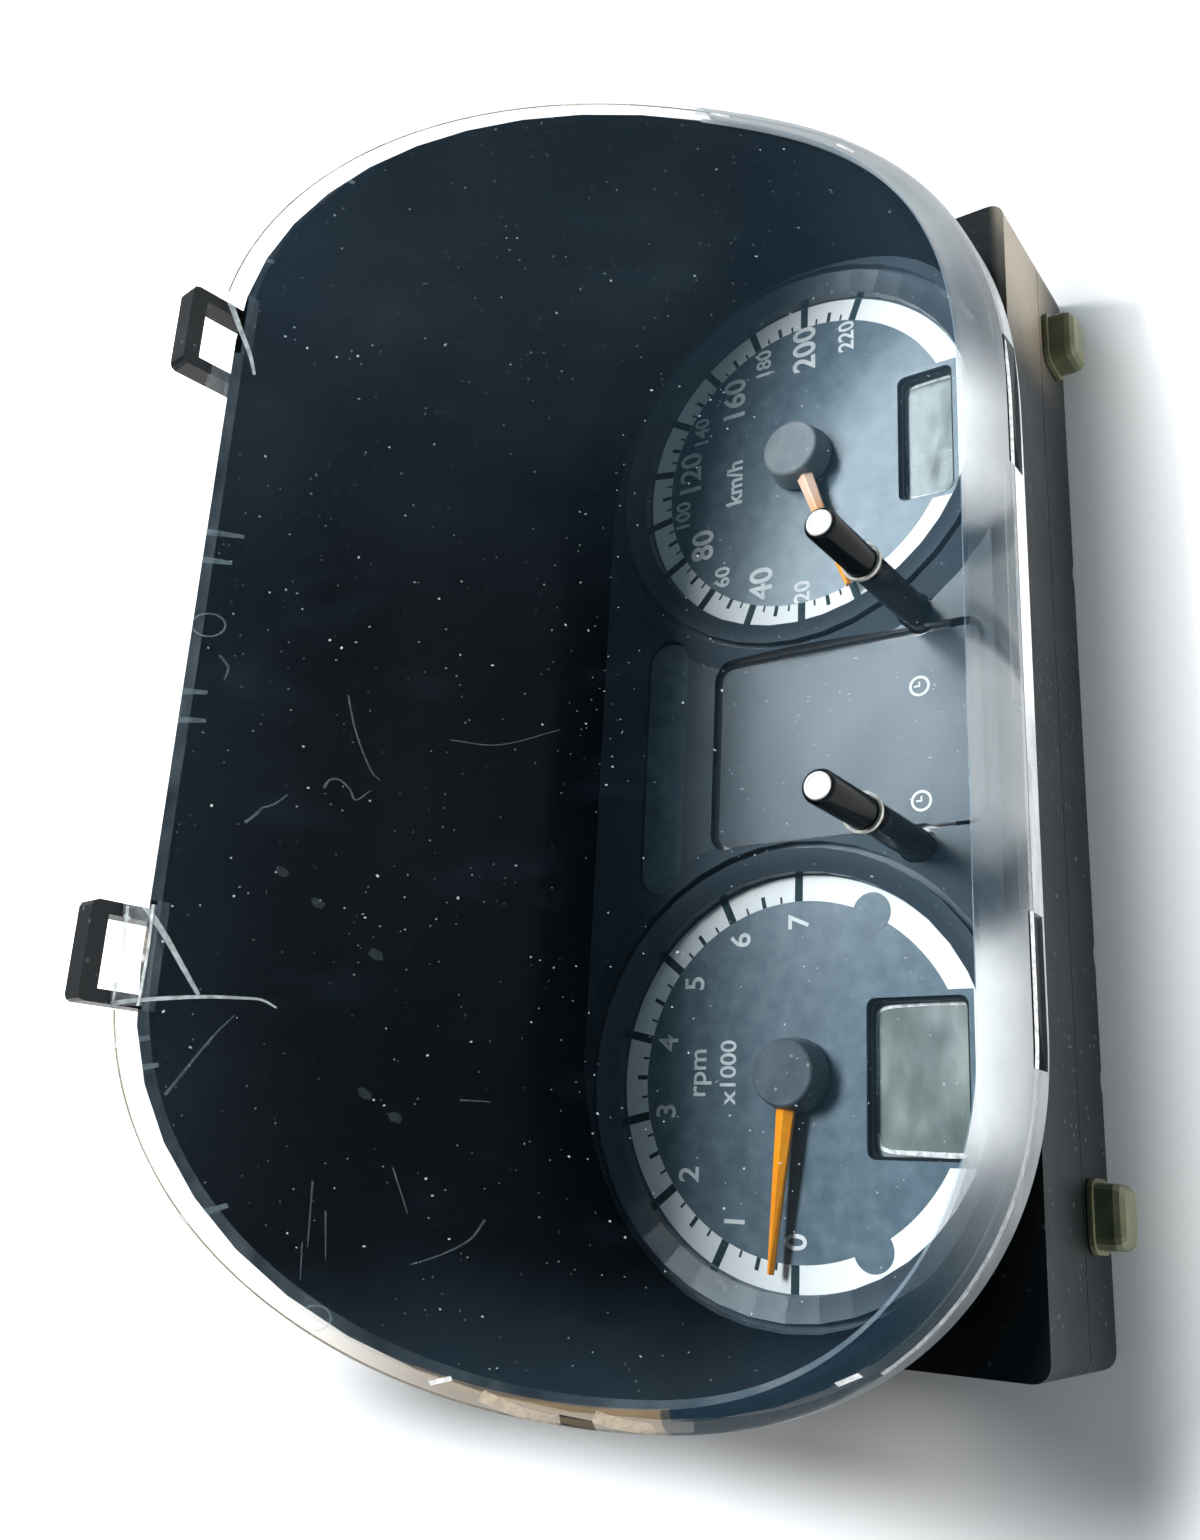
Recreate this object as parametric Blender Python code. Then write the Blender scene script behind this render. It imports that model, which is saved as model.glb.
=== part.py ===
"""Instrument cluster: two dials behind a slanted clear lens, in a black housing.

The cluster lies on the back of its rear cover.  +Z points at the driver,
+X is the driver's right and +Y is up on the dials.  All lengths are metres.
Design coordinates start at the dial faces (z = 0), midway between the dials.
"""
import math

import bmesh
import bpy
from mathutils import Matrix, Vector
from mathutils.geometry import tessellate_polygon

# ---------------------------------------------------------------- fits
GAP = 0.0003                  # between two pieces that touch
ROD_GAP = 0.0006              # round a rod that slides or turns
SEAT_GAP = 0.0005             # round a piece that drops into an opening

# ---------------------------------------------------------------- dials
RING_RADIUS = 0.0460          # outer edge of the pale scale ring
DIAL_GAP = 0.0320             # half the distance between the two rings
DIAL_HALF_SPACING = RING_RADIUS + DIAL_GAP
DIAL_RIM = 0.0018             # dial plate beyond the scale ring
DIAL_THICKNESS = 0.0010
DIAL_BORE_RADIUS = 0.0042
LCD_WIDTH = 0.0345
LCD_CORNER = 0.0020
TACHO_LCD_X = -0.0004         # window centre, from the dial's centre
TACHO_LCD_TOP = -0.0168
TACHO_LCD_BOTTOM = -RING_RADIUS + 0.0058
SPEEDO_LCD_X = -0.0016
SPEEDO_LCD_TOP = -0.0260
SPEEDO_LCD_BOTTOM = -RING_RADIUS + 0.0058

# ---------------------------------------------------------------- lens
LENS_ANGLE = math.radians(40.7)
LENS_HEIGHT = 0.0584          # outside of the lens over the dial centres
LENS_SIDE = 0.0687            # lens beyond a dial's centre, sideways
LENS_HALF_WIDTH = DIAL_HALF_SPACING + LENS_SIDE
LENS_ARC_X = DIAL_HALF_SPACING - 0.0090     # where each corner's curve starts
LENS_TOP = 0.0796
LENS_BOTTOM = RING_RADIUS + 0.0096
CORNER_UPPER = 2.06           # superellipse exponents of the corners
CORNER_LOWER_LEFT = 2.15
CORNER_LOWER_RIGHT = 2.85
CORNER_STEPS = 11
LENS_WALL = 0.0022
SKIRT_DEPTH = 0.0070
EDGE_ROUND_TOP = 0.0028
EDGE_ROUND_BOTTOM = 0.0075
SNAP_HEIGHT = 0.0072
SNAP_BOTTOM = -0.0024         # from the dial faces
SNAP_STANDOFF = 0.0018
SNAP_CLEARANCE = 0.0005
RIGHT_SNAP = (DIAL_HALF_SPACING - 0.0180, DIAL_HALF_SPACING + 0.0160)
LEFT_SNAP = (-DIAL_HALF_SPACING + 0.0012, -DIAL_HALF_SPACING + 0.0324)

# ---------------------------------------------------------------- housing
BOX_SIDE = 0.0600             # housing beyond a dial's centre, sideways
BOX_HALF_WIDTH = DIAL_HALF_SPACING + BOX_SIDE
BOX_BOTTOM = RING_RADIUS + 0.0070           # below the dial centres
BOX_TOP = 0.0620
BOX_SHIFT = 0.0012            # housing's middle from the midpoint of the dials
BOX_CORNER = 0.0040
LEAST_CORNER = 0.0010
BOX_FRONT = 0.0046            # below the dial faces
BOX_SPLIT = 0.0304            # where the rear cover meets the housing
BOX_BACK = 0.0530
WALL = 0.0022
SHELF = 0.0025
HOOD_WALL = 0.0020
HOOD_WIDTH_RATIO = 0.931      # hood's width at its foot over that at its rim
HOOD_TOP_RATIO = 0.775
RIM_GAP = 0.0009
BOSS_RADIUS = 0.0042
BOSS_INSET = 0.0080
COLUMN_WALL = 0.0014          # round a screw head's well in the cover
BACK_ROUND = 0.0032
VENT_XS = (DIAL_HALF_SPACING - 0.0235, -DIAL_HALF_SPACING + 0.0330, -DIAL_HALF_SPACING + 0.0035)
VENT_RADIUS = 0.0042
POST_RADIUS = 0.0035
POST_X = BOX_HALF_WIDTH - 0.0190
POST_TOP_Y = BOX_TOP - 0.0190
POST_BOTTOM_Y = -BOX_BOTTOM + 0.0145

# ---------------------------------------------------------------- mask
MASK_FACE = 0.0024
MASK_PLATE = 0.0018
BEZEL_BORE = RING_RADIUS + 0.0004
BEZEL_WALL_TOP = 0.0032
BEZEL_CREST_RADIUS = BEZEL_BORE + 0.0053
BEZEL_CREST = 0.0048
GROOVE_WIDTH = 0.0016
GROOVE_DEPTH = 0.0022
COLLAR_RADIUS = BEZEL_CREST_RADIUS + 0.0081
COLLAR_SINK = 0.0003          # collar's edge below the mask's face
ROUND_STEPS = 40
PANEL_HALF_WIDTH = 0.0232
PANEL_TOP = 0.0216
PANEL_BOTTOM = -0.0455
PANEL_CORNER = 0.0030
PANEL_MARGIN = 0.0014
PANEL_DROP = 0.0016           # centre panel's face below the mask's
PILL_HALF_WIDTH = 0.0340
PILL_CENTRE_Y = 0.0375
PILL_HALF_HEIGHT = 0.0062
PILL_DROP = 0.0010
MASK_FEET = ((0.0, 0.0525), (0.0400, 0.0525), (-0.0400, 0.0525), (0.0340, -0.0458), (-0.0340, -0.0458))
MASK_FOOT_RADIUS = 0.0022

# ---------------------------------------------------------------- light box
LAMP_RADIUS = RING_RADIUS + 0.0016
LAMP_CENTRE_HALF_WIDTH = 0.0420
LAMP_CENTRE_TOP = 0.0460
LAMP_CENTRE_BOTTOM = -0.0379
LAMP_WALL = 0.0016
LAMP_FRONT = 0.0016
LAMP_LIP = 0.0025
LAMP_LIP_HEIGHT = 0.0020

# ---------------------------------------------------------------- electronics
BOARD_THICKNESS = 0.0016
BOARD_EDGE_GAP = 0.0020
BOARD_CORNER = 0.0023
LCD_FRAME = 0.0012
LCD_DEPTH = 0.0030            # display glass below the dial face
LCD_GLASS = 0.0020
LCD_LIP = 0.0008
MOTOR_WIDTH = 0.0260
MOTOR_HEIGHT = 0.0090
MOTOR_CORNER = 0.0050
MOTOR_TOWER_RADIUS = 0.0040
MOTOR_TOWER = 0.0045
SHAFT_RADIUS = 0.0010
SHAFT_SOCKET = 0.0100
SWITCH_WIDTH = 0.0062
SWITCH_HEIGHT = 0.0036
PLUNGER_RADIUS = 0.0016
PLUNGER_HEIGHT = 0.0016       # standing out of the switch
CONNECTOR_WIDTH = 0.0440
CONNECTOR_DEPTH = 0.0130
CONNECTOR_WALL = 0.0014
CONNECTOR_X = 0.0300
CONNECTOR_Y = 0.0080
CONNECTOR_INSET = 0.0015      # mouth below the rear face
PIN_BLOCK = 0.0090
LED_COUNT = 4
LED_SPACING = 0.0150
LED_SIZE = (0.0032, 0.0028, 0.0019)
BOARD_PART_ROUND = 0.12       # edge rounding of a component over its least size
LOW_ROW_Y = -0.0135           # rows of components across the board
HIGH_ROW_Y = 0.0220
CONTROLLER_X = -0.0400
CONTROLLER_SIZE = (0.0140, 0.0140, 0.0016)
MEMORY_X = -0.0180
MEMORY_SIZE = (0.0050, 0.0040, 0.0015)
CRYSTAL_X = -0.0600
CRYSTAL_SIZE = (0.0110, 0.0045, 0.0035)
REGULATOR_X = 0.0700
REGULATOR_SIZE = (0.0066, 0.0061, 0.0023)
CAPACITOR_RADIUS = 0.0050
CAPACITOR_HEIGHT = 0.0110
CAPACITOR_X = 0.0780
CAPACITOR_SPACING = 0.0140
BUZZER_RADIUS = 0.0060
BUZZER_HEIGHT = 0.0085
BUZZER_X = -0.0860

# ---------------------------------------------------------------- pointers
TACHO_ANGLE = math.radians(174.5)
SPEEDO_ANGLE = math.radians(200.0)
NEEDLE_TIP = RING_RADIUS - 0.0036
NEEDLE_ROOT_WIDTH = 0.0042
NEEDLE_TIP_WIDTH = 0.0014
NEEDLE_BASE = 0.0034
NEEDLE_HEIGHT = 0.0022
HUB_DISC_RADIUS = 0.0056
HUB_TOP_RADIUS = 0.0075
HUB_BASE_RADIUS = 0.0086
HUB_BASE = 0.0012
HUB_TOP = 0.0078
HUB_EDGE = 0.0004

# ---------------------------------------------------------------- push stalks
STALK_X = 0.0283
STALK_Y = -0.0307
STALK_RADIUS = 0.0037
STALK_TIP = 0.0527            # above the dial faces
STALK_TRAVEL = 0.0012
CAP_RADIUS = 0.0029
CAP_DEPTH = 0.0040
CAP_PROUD = 0.0003
COLLAR_FLANGE = 0.0050
COLLAR_HEIGHT = 0.0018        # keeps the rod under the light box's front

# ---------------------------------------------------------------- lugs and clips
LEFT_LUG_X = -DIAL_HALF_SPACING + 0.0107
RIGHT_LUG_X = DIAL_HALF_SPACING - 0.0093
LUG_WIDTH = 0.0192
LUG_BAR = 0.0036
LUG_ARM = 0.0026
LUG_DEPTH = 0.0052
LUG_TOP = 0.1312              # above the dial faces
LUG_HOLE = 0.0260
LUG_FOOT = 0.0160
LUG_STANDOFF = 0.0016
NOTCH_MARGIN = 0.0008
NOTCH_FLOOR = 0.0736           # lens edge under a lug, above the dial centres
LEFT_NOTCH_REACH = 0.0104      # of a notch, from its lug's centre towards the middle
RIGHT_NOTCH_REACH = 0.0046
ARM_SLOT_FLOOR = 0.0780        # lens edge beside a lug's arm
CLIP_WIDTH = 0.0140
CLIP_HEIGHT = 0.0115
CLIP_REACH = 0.0066
CLIP_ROUND = 0.0026
CLIP_FLANGE = 0.0012
CLIP_FLANGE_MARGIN = 0.0010
CLIP_PEG = 0.0060
CLIP_PEG_LENGTH = 0.0045
CLIP_DEPTH = 0.0390           # peg centre below the dial faces
RIGHT_CLIP_X = BOX_HALF_WIDTH - 0.0215
LEFT_CLIP_X = -BOX_HALF_WIDTH + 0.0334

# ---------------------------------------------------------------- screws
SCREW_RADIUS = 0.0014
SCREW_HEAD_RADIUS = 0.0031
SCREW_HEAD_HEIGHT = 0.0020
SCREW_RECESS = 0.0011
COVER_SCREW_LENGTH = 0.0160
COVER_SCREW_GRIP = 0.0090
BOARD_SCREW_LENGTH = 0.0080

# ---------------------------------------------------------------- derived
LENS_SLOPE = math.tan(LENS_ANGLE)
LENS_WALL_Z = LENS_WALL / math.cos(LENS_ANGLE)
HOOD_INSET = LENS_WALL + GAP
BOARD_TOP = BOX_SPLIT - GAP - BOARD_THICKNESS - GAP
BOARD_BACK = BOARD_TOP + BOARD_THICKNESS
LAMP_TOP = DIAL_THICKNESS + GAP
LAMP_BOTTOM = BOARD_TOP - GAP
MASK_BACK = MASK_FACE - MASK_PLATE
CLIP_TIP_Y = -(BOX_BOTTOM + GAP + CLIP_FLANGE + CLIP_REACH)
HOOD_BASE = -BOX_FRONT - SHELF / 2
DIAL_CENTRES = {"tacho": -DIAL_HALF_SPACING, "speedo": DIAL_HALF_SPACING}
LUG_XS = {-1: LEFT_LUG_X, 1: RIGHT_LUG_X}
NOTCH_REACHES = {-1: LEFT_NOTCH_REACH, 1: RIGHT_NOTCH_REACH}

BLACK = ("black_plastic", (0.012, 0.013, 0.015, 1), 0.42, 0.0, 0.0)
MASK = ("mask_plastic", (0.02, 0.022, 0.026, 1), 0.6, 0.0, 0.0)
CLEAR = ("clear_plastic", (0.9, 0.95, 0.97, 1), 0.06, 0.0, 0.9)
WHITE = ("white_plastic", (0.82, 0.83, 0.82, 1), 0.5, 0.0, 0.0)
PRINT = ("printed_dial", (0.03, 0.033, 0.038, 1), 0.55, 0.0, 0.0)
ORANGE = ("orange_plastic", (0.95, 0.33, 0.02, 1), 0.35, 0.0, 0.0)
GLASS = ("display_glass", (0.33, 0.38, 0.33, 1), 0.12, 0.0, 0.2)
NYLON = ("olive_nylon", (0.35, 0.36, 0.22, 1), 0.45, 0.0, 0.3)
BOARD = ("green_board", (0.02, 0.16, 0.07, 1), 0.45, 0.0, 0.0)
STEEL = ("zinc_steel", (0.6, 0.6, 0.58, 1), 0.35, 1.0, 0.0)
CHIP = ("chip_epoxy", (0.02, 0.02, 0.022, 1), 0.5, 0.0, 0.0)
CAPWHITE = ("bright_tip", (0.9, 0.92, 0.93, 1), 0.25, 0.0, 0.0)


# ---------------------------------------------------------------- mesh helpers
def clear_scene():
    for old in list(bpy.data.objects):
        bpy.data.objects.remove(old, do_unlink=True)


def material(spec):
    name, colour, roughness, metallic, transmission = spec
    made = bpy.data.materials.get(name)
    if made:
        return made
    made = bpy.data.materials.new(name)
    made.use_nodes = True
    made.diffuse_color = colour
    shader = made.node_tree.nodes["Principled BSDF"]
    shader.inputs["Base Color"].default_value = colour
    shader.inputs["Roughness"].default_value = roughness
    shader.inputs["Metallic"].default_value = metallic
    shader.inputs["Transmission Weight"].default_value = transmission
    return made


def solid_from_loops(loops):
    """A closed bmesh from equal loops of points: sides between them, a cap at each end."""
    bm = bmesh.new()
    rings = [[bm.verts.new(point) for point in loop] for loop in loops]
    count = len(rings[0])
    for lower, upper in zip(rings, rings[1:]):
        for i in range(count):
            j = (i + 1) % count
            bm.faces.new((lower[i], lower[j], upper[j], upper[i]))
    for ring, flip in ((rings[0], True), (rings[-1], False)):
        for tri in tessellate_polygon([[vert.co for vert in ring]]):
            corners = [ring[k] for k in tri]
            bm.faces.new(corners if not flip else corners[::-1])
    return tidy(bm)


def tidy(bm):
    bmesh.ops.remove_doubles(bm, verts=bm.verts, dist=1e-6)
    bmesh.ops.recalc_face_normals(bm, faces=bm.faces)
    if bm.calc_volume(signed=True) < 0:
        bmesh.ops.reverse_faces(bm, faces=bm.faces)
    return bm


def prism(outline, low, high):
    return solid_from_loops([[(x, y, low) for x, y in outline], [(x, y, high) for x, y in outline]])


def block(x_range, y_range, z_range):
    (x0, x1), (y0, y1) = x_range, y_range
    return prism([(x0, y0), (x1, y0), (x1, y1), (x0, y1)], *z_range)


def rounded_rectangle(x_range, y_range, radius, steps=4):
    (x0, x1), (y0, y1) = x_range, y_range
    centres = ((x1 - radius, y1 - radius, 0), (x0 + radius, y1 - radius, 90),
               (x0 + radius, y0 + radius, 180), (x1 - radius, y0 + radius, 270))
    points = []
    for cx, cy, start in centres:
        for step in range(steps + 1):
            angle = math.radians(start + 90 * step / steps)
            points.append((cx + radius * math.cos(angle), cy + radius * math.sin(angle)))
    return points


def circle(radius, cx=0.0, cy=0.0, steps=24):
    angles = [2 * math.pi * k / steps for k in range(steps)]
    return [(cx + radius * math.cos(a), cy + radius * math.sin(a)) for a in angles]


def cylinder(radius, low, high, cx=0.0, cy=0.0, steps=24):
    return prism(circle(radius, cx, cy, steps), low, high)


def turned(profile, steps=24, cx=0.0, cy=0.0):
    """Turn a closed (radius, z) profile round Z; a radius of 0 lies on the axis."""
    bm = bmesh.new()
    rings = []
    for radius, z in profile:
        if radius == 0:
            rings.append([bm.verts.new((cx, cy, z))] * steps)
        else:
            rings.append([bm.verts.new((x, y, z)) for x, y in circle(radius, cx, cy, steps)])
    for lower, upper in zip(rings, rings[1:] + rings[:1]):
        for i in range(steps):
            j = (i + 1) % steps
            corners = []
            for vert in (lower[i], lower[j], upper[j], upper[i]):
                if vert not in corners:
                    corners.append(vert)
            if len(corners) > 2:
                bm.faces.new(corners)
    return tidy(bm)


def move(bm, offset):
    bmesh.ops.translate(bm, verts=bm.verts, vec=Vector(offset))
    return bm


def turn(bm, angle, axis, centre=(0, 0, 0)):
    bmesh.ops.rotate(bm, verts=bm.verts, cent=centre, matrix=Matrix.Rotation(angle, 3, axis))
    return bm


def bevel_edges(bm, width, segments, chosen):
    edges = [edge for edge in bm.edges if chosen(edge)]
    bmesh.ops.bevel(bm, geom=edges, offset=width, segments=segments, affect="EDGES", profile=0.5)
    return tidy(bm)


def boolean(base, tool, operation):
    """Combine two bmeshes with an exact Boolean; both are used up."""
    pair = []
    for bm, name in ((base, "base"), (tool, "tool")):
        mesh = bpy.data.meshes.new(name)
        bm.to_mesh(mesh)
        bm.free()
        made = bpy.data.objects.new(name, mesh)
        bpy.context.collection.objects.link(made)
        pair.append(made)
    modifier = pair[0].modifiers.new("combine", "BOOLEAN")
    modifier.operation = operation
    modifier.solver = "EXACT"
    modifier.object = pair[1]
    graph = bpy.context.evaluated_depsgraph_get()
    result = bmesh.new()
    result.from_object(pair[0], graph)
    for made in pair:
        mesh = made.data
        bpy.data.objects.remove(made, do_unlink=True)
        bpy.data.meshes.remove(mesh)
    bmesh.ops.remove_doubles(result, verts=result.verts, dist=2e-6)
    bmesh.ops.dissolve_degenerate(result, edges=result.edges, dist=2e-6)
    return result


def cut(base, *tools):
    for tool in tools:
        base = boolean(base, tool, "DIFFERENCE")
    return base


def join(base, *tools):
    for tool in tools:
        base = boolean(base, tool, "UNION")
    return base


def put(name, bm, spec, place=(0.0, 0.0, 0.0), parent=None):
    """Make the named object: place is in design coordinates, on the joint axis if it moves."""
    mesh = bpy.data.meshes.new(name)
    bm.to_mesh(mesh)
    bm.free()
    mesh.shade_smooth()
    mesh.set_sharp_from_angle(angle=math.radians(32))
    made = bpy.data.objects.new(name, mesh)
    bpy.context.collection.objects.link(made)
    mesh.materials.append(material(spec))
    if parent:
        made.parent = parent
        made.location = place
    else:
        made.location = ORIGIN + Vector(place)
    return made


def axis_empty(name, place):
    empty = bpy.data.objects.new(name, None)
    empty.empty_display_size = 0.01
    empty.location = ORIGIN + Vector(place)
    bpy.context.collection.objects.link(empty)
    return empty


# ---------------------------------------------------------------- outlines
def corner_point(share, exponent, height):
    """A point of one corner of the lens outline, share 0 at the side and 1 at the top."""
    angle = share * math.pi / 2
    x = abs(math.cos(angle)) ** (2 / exponent) if share < 1 else 0.0
    y = abs(math.sin(angle)) ** (2 / exponent)
    return LENS_ARC_X + (LENS_HALF_WIDTH - LENS_ARC_X) * x, height * y


def lens_outline():
    shares = [k / CORNER_STEPS for k in range(CORNER_STEPS + 1)]
    upper = [corner_point(share, CORNER_UPPER, LENS_TOP) for share in shares]
    right = [corner_point(share, CORNER_LOWER_RIGHT, LENS_BOTTOM) for share in shares]
    left = [corner_point(share, CORNER_LOWER_LEFT, LENS_BOTTOM) for share in shares]
    points = list(upper)
    points += [(-x, y) for x, y in reversed(upper)]
    points += [(-x, -y) for x, y in left[1:]]
    points += [(x, -y) for x, y in reversed(right[1:])]
    return points


def inset(outline, amounts):
    """Move each point of an anticlockwise outline inwards by its own amount."""
    count = len(outline)
    if not hasattr(amounts, "__len__"):
        amounts = [amounts] * count
    moved = []
    for i, (x, y) in enumerate(outline):
        before = Vector(outline[i - 1])
        after = Vector(outline[(i + 1) % count])
        here = Vector((x, y))
        one = (here - before).normalized()
        two = (after - here).normalized()
        normal = Vector((-(one.y + two.y), one.x + two.x)).normalized()
        slant = max(0.5, normal.dot(Vector((-two.y, two.x))))
        moved.append(tuple(here + normal * amounts[i] / slant))
    return moved


def lens_plane(y):
    return LENS_HEIGHT + LENS_SLOPE * y


def edge_round(y):
    """Radius of the lens's front edge: small at the top, large along the bottom."""
    share = min(1.0, max(0.0, (LENS_TOP - y) / (LENS_TOP + LENS_BOTTOM)))
    return EDGE_ROUND_TOP + (EDGE_ROUND_BOTTOM - EDGE_ROUND_TOP) * share ** 2


def skirt_end(y):
    return lens_plane(y) - edge_round(y) - SKIRT_DEPTH


def lens_under(y, depth_in):
    """Height of the lens's inner face, depth_in inwards from its outer outline."""
    radius = edge_round(y)
    inner = radius - LENS_WALL
    reach = depth_in - LENS_WALL
    drop = 0.0
    if inner > 0 and reach < inner:
        drop = inner - math.sqrt(max(0.0, inner ** 2 - (inner - max(0.0, reach)) ** 2))
    return lens_plane(y) - LENS_WALL_Z - drop


def box_outline(shrink=0.0, radius=BOX_CORNER):
    half = BOX_HALF_WIDTH - shrink
    return rounded_rectangle((BOX_SHIFT - half, BOX_SHIFT + half), (-BOX_BOTTOM + shrink, BOX_TOP - shrink),
                             max(radius - shrink, LEAST_CORNER), 5)


def hood_foot(outline):
    return [(x * HOOD_WIDTH_RATIO, y * (HOOD_TOP_RATIO if y > 0 else 1.0)) for x, y in outline]


def hood_solid(inset_by, low, over):
    """The hood's volume inset from the lens outline, from its foot up past the rim by over."""
    rim = inset(lens_outline(), inset_by)
    foot = hood_foot(rim)
    top = [(x, y, lens_under(y, HOOD_INSET) - RIM_GAP + over) for x, y in rim]
    base = [(x, y, low) for x, y in foot]
    return solid_from_loops([base, top])


def hood_rise():
    """Height of the hood's top wall from its base to the rim."""
    return lens_under(LENS_TOP - HOOD_INSET, HOOD_INSET) - RIM_GAP - HOOD_BASE


def hood_lean():
    return math.atan((LENS_TOP - HOOD_INSET) * (1 - HOOD_TOP_RATIO) / hood_rise())


def hood_top_wall(z):
    """Height above the dial centres of the hood's outer top wall, at height z."""
    share = (z - HOOD_BASE) / hood_rise()
    return (LENS_TOP - HOOD_INSET) * (HOOD_TOP_RATIO + (1 - HOOD_TOP_RATIO) * share)


def lamp_solid(grow, low, high):
    """Two dial drums and the block between them, grown sideways by grow."""
    radius = LAMP_RADIUS + grow
    half = LAMP_CENTRE_HALF_WIDTH + grow
    span = (LAMP_CENTRE_BOTTOM - grow, LAMP_CENTRE_TOP + grow)
    drums = [cylinder(radius, low, high, x, steps=ROUND_STEPS) for x in DIAL_CENTRES.values()]
    return join(block((-half, half), span, (low, high)), *drums)


def boss_places():
    reach = BOX_HALF_WIDTH - BOSS_INSET
    low = -BOX_BOTTOM + BOSS_INSET
    high = BOX_TOP - BOSS_INSET
    return [(BOX_SHIFT + x, y) for y in (low, high) for x in (-reach, 0.0, reach)]


def post_places():
    return [(BOX_SHIFT + x, y) for y in (POST_BOTTOM_Y, POST_TOP_Y) for x in (-POST_X, POST_X)]


def lcd_window(dial):
    """x and y ranges of a dial's display window, from the dial's centre."""
    if dial == "tacho":
        centre, top, bottom = TACHO_LCD_X, TACHO_LCD_TOP, TACHO_LCD_BOTTOM
    else:
        centre, top, bottom = SPEEDO_LCD_X, SPEEDO_LCD_TOP, SPEEDO_LCD_BOTTOM
    return (centre - LCD_WIDTH / 2, centre + LCD_WIDTH / 2), (bottom, top)


ORIGIN = Vector((0, -(CLIP_TIP_Y + hood_top_wall(LUG_TOP) + LUG_STANDOFF + LUG_DEPTH) / 2, BOX_BACK))


# ---------------------------------------------------------------- shells
def lens_loops(depth_in, wall_z):
    """Loops of one lens face from the skirt's end up round the edge to the flat front."""
    outline = lens_outline()
    radii = [max(edge_round(y) - depth_in, GAP) for _, y in outline]
    start = inset(outline, depth_in)
    loops = [[(x, y, skirt_end(source[1])) for (x, y), source in zip(start, outline)]]
    for degrees in (0, 22.5, 45, 67.5, 90):
        angle = math.radians(degrees)
        amounts = [depth_in + radius * (1 - math.cos(angle)) for radius in radii]
        ring = inset(outline, amounts)
        loops.append([(x, y, lens_plane(y) - wall_z - radius * (1 - math.sin(angle)))
                      for (x, y), radius in zip(ring, radii)])
    return loops


def snap_window(x_range, grow):
    """The block that one snap fills, or its window in the lens when grown."""
    x0, x1 = x_range
    face = -(LENS_BOTTOM - HOOD_INSET)
    return ((x0 - grow, x1 + grow), (face - SNAP_STANDOFF, face),
            (SNAP_BOTTOM - grow, SNAP_BOTTOM + SNAP_HEIGHT + grow))


def lug_notch(side):
    """Blocks that open the lens's edge for a lug: the notch and a shallow slot for its inner arm."""
    half = LUG_WIDTH / 2 + NOTCH_MARGIN
    blocks = []
    for reach, floor in ((NOTCH_REACHES[side], NOTCH_FLOOR), (half, ARM_SLOT_FLOOR)):
        low = lens_plane(floor) - LENS_HEIGHT
        ends = sorted((LUG_XS[side] - side * reach, LUG_XS[side] + side * half))
        blocks.append(block(ends, (floor, LENS_TOP + LENS_WALL), (low, low + LENS_HEIGHT * 3)))
    return blocks


def make_lens():
    inner = lens_loops(LENS_WALL, LENS_WALL_Z)
    outer = lens_loops(0.0, 0.0)
    lens = solid_from_loops(inner[::-1] + outer)
    tools = []
    for side in (-1, 1):
        tools.append(cylinder(STALK_RADIUS + ROD_GAP, 0, LENS_HEIGHT, side * STALK_X, STALK_Y, 20))
        tools.extend(lug_notch(side))
    for x_range in (LEFT_SNAP, RIGHT_SNAP):
        across, deep, tall = snap_window(x_range, SNAP_CLEARANCE)
        tools.append(block(across, (deep[0] - LENS_WALL, deep[1] + LENS_WALL), tall))
    put("front_lens", cut(lens, *tools), CLEAR)


def make_housing():
    box = prism(box_outline(), -BOX_SPLIT, -BOX_FRONT)
    shell = join(box, hood_solid(HOOD_INSET, HOOD_BASE, 0))
    cavity = prism(box_outline(WALL), -BOX_SPLIT - WALL, -BOX_FRONT - SHELF)
    inside = hood_solid(HOOD_INSET + HOOD_WALL, -BOX_FRONT - GAP, LENS_WALL)
    opening = lamp_solid(SEAT_GAP, -BOX_FRONT - 2 * SHELF, -BOX_FRONT + SHELF)
    shell = cut(shell, cavity, inside, opening)
    for x, y in boss_places():
        shell = join(shell, cylinder(BOSS_RADIUS, -BOX_SPLIT, -BOX_FRONT - SHELF / 2, x, y, 16))
    for x, y in post_places():
        shell = join(shell, cylinder(POST_RADIUS, -LAMP_BOTTOM, -BOX_FRONT - SHELF / 2, x, y, 16))
    hole = SCREW_RADIUS + GAP
    for x, y in boss_places():
        top = -BOX_SPLIT - GAP - COVER_SCREW_GRIP + COVER_SCREW_LENGTH + SCREW_RADIUS
        shell = cut(shell, cylinder(hole, -BOX_SPLIT - WALL, top, x, y, 12))
    for x, y in post_places():
        top = -BOARD_BACK - GAP + BOARD_SCREW_LENGTH + SCREW_RADIUS
        shell = cut(shell, cylinder(hole, -BOARD_BACK, top, x, y, 12))
    for x_range in (LEFT_SNAP, RIGHT_SNAP):
        across, deep, tall = snap_window(x_range, 0.0)
        shell = join(shell, block(across, (deep[0], deep[1] + HOOD_WALL / 2), tall))
    put("housing", shell, BLACK)


def cover_loops(shrink, back):
    """Loops of the cover's outside or inside, rounded where the walls meet the back."""
    radius = BACK_ROUND - shrink
    loops = []
    for degrees in (90, 60, 30, 0):
        angle = math.radians(degrees)
        ring = box_outline(shrink + radius * (1 - math.cos(angle)))
        loops.append([(x, y, back + radius * (1 - math.sin(angle))) for x, y in ring])
    return loops


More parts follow.
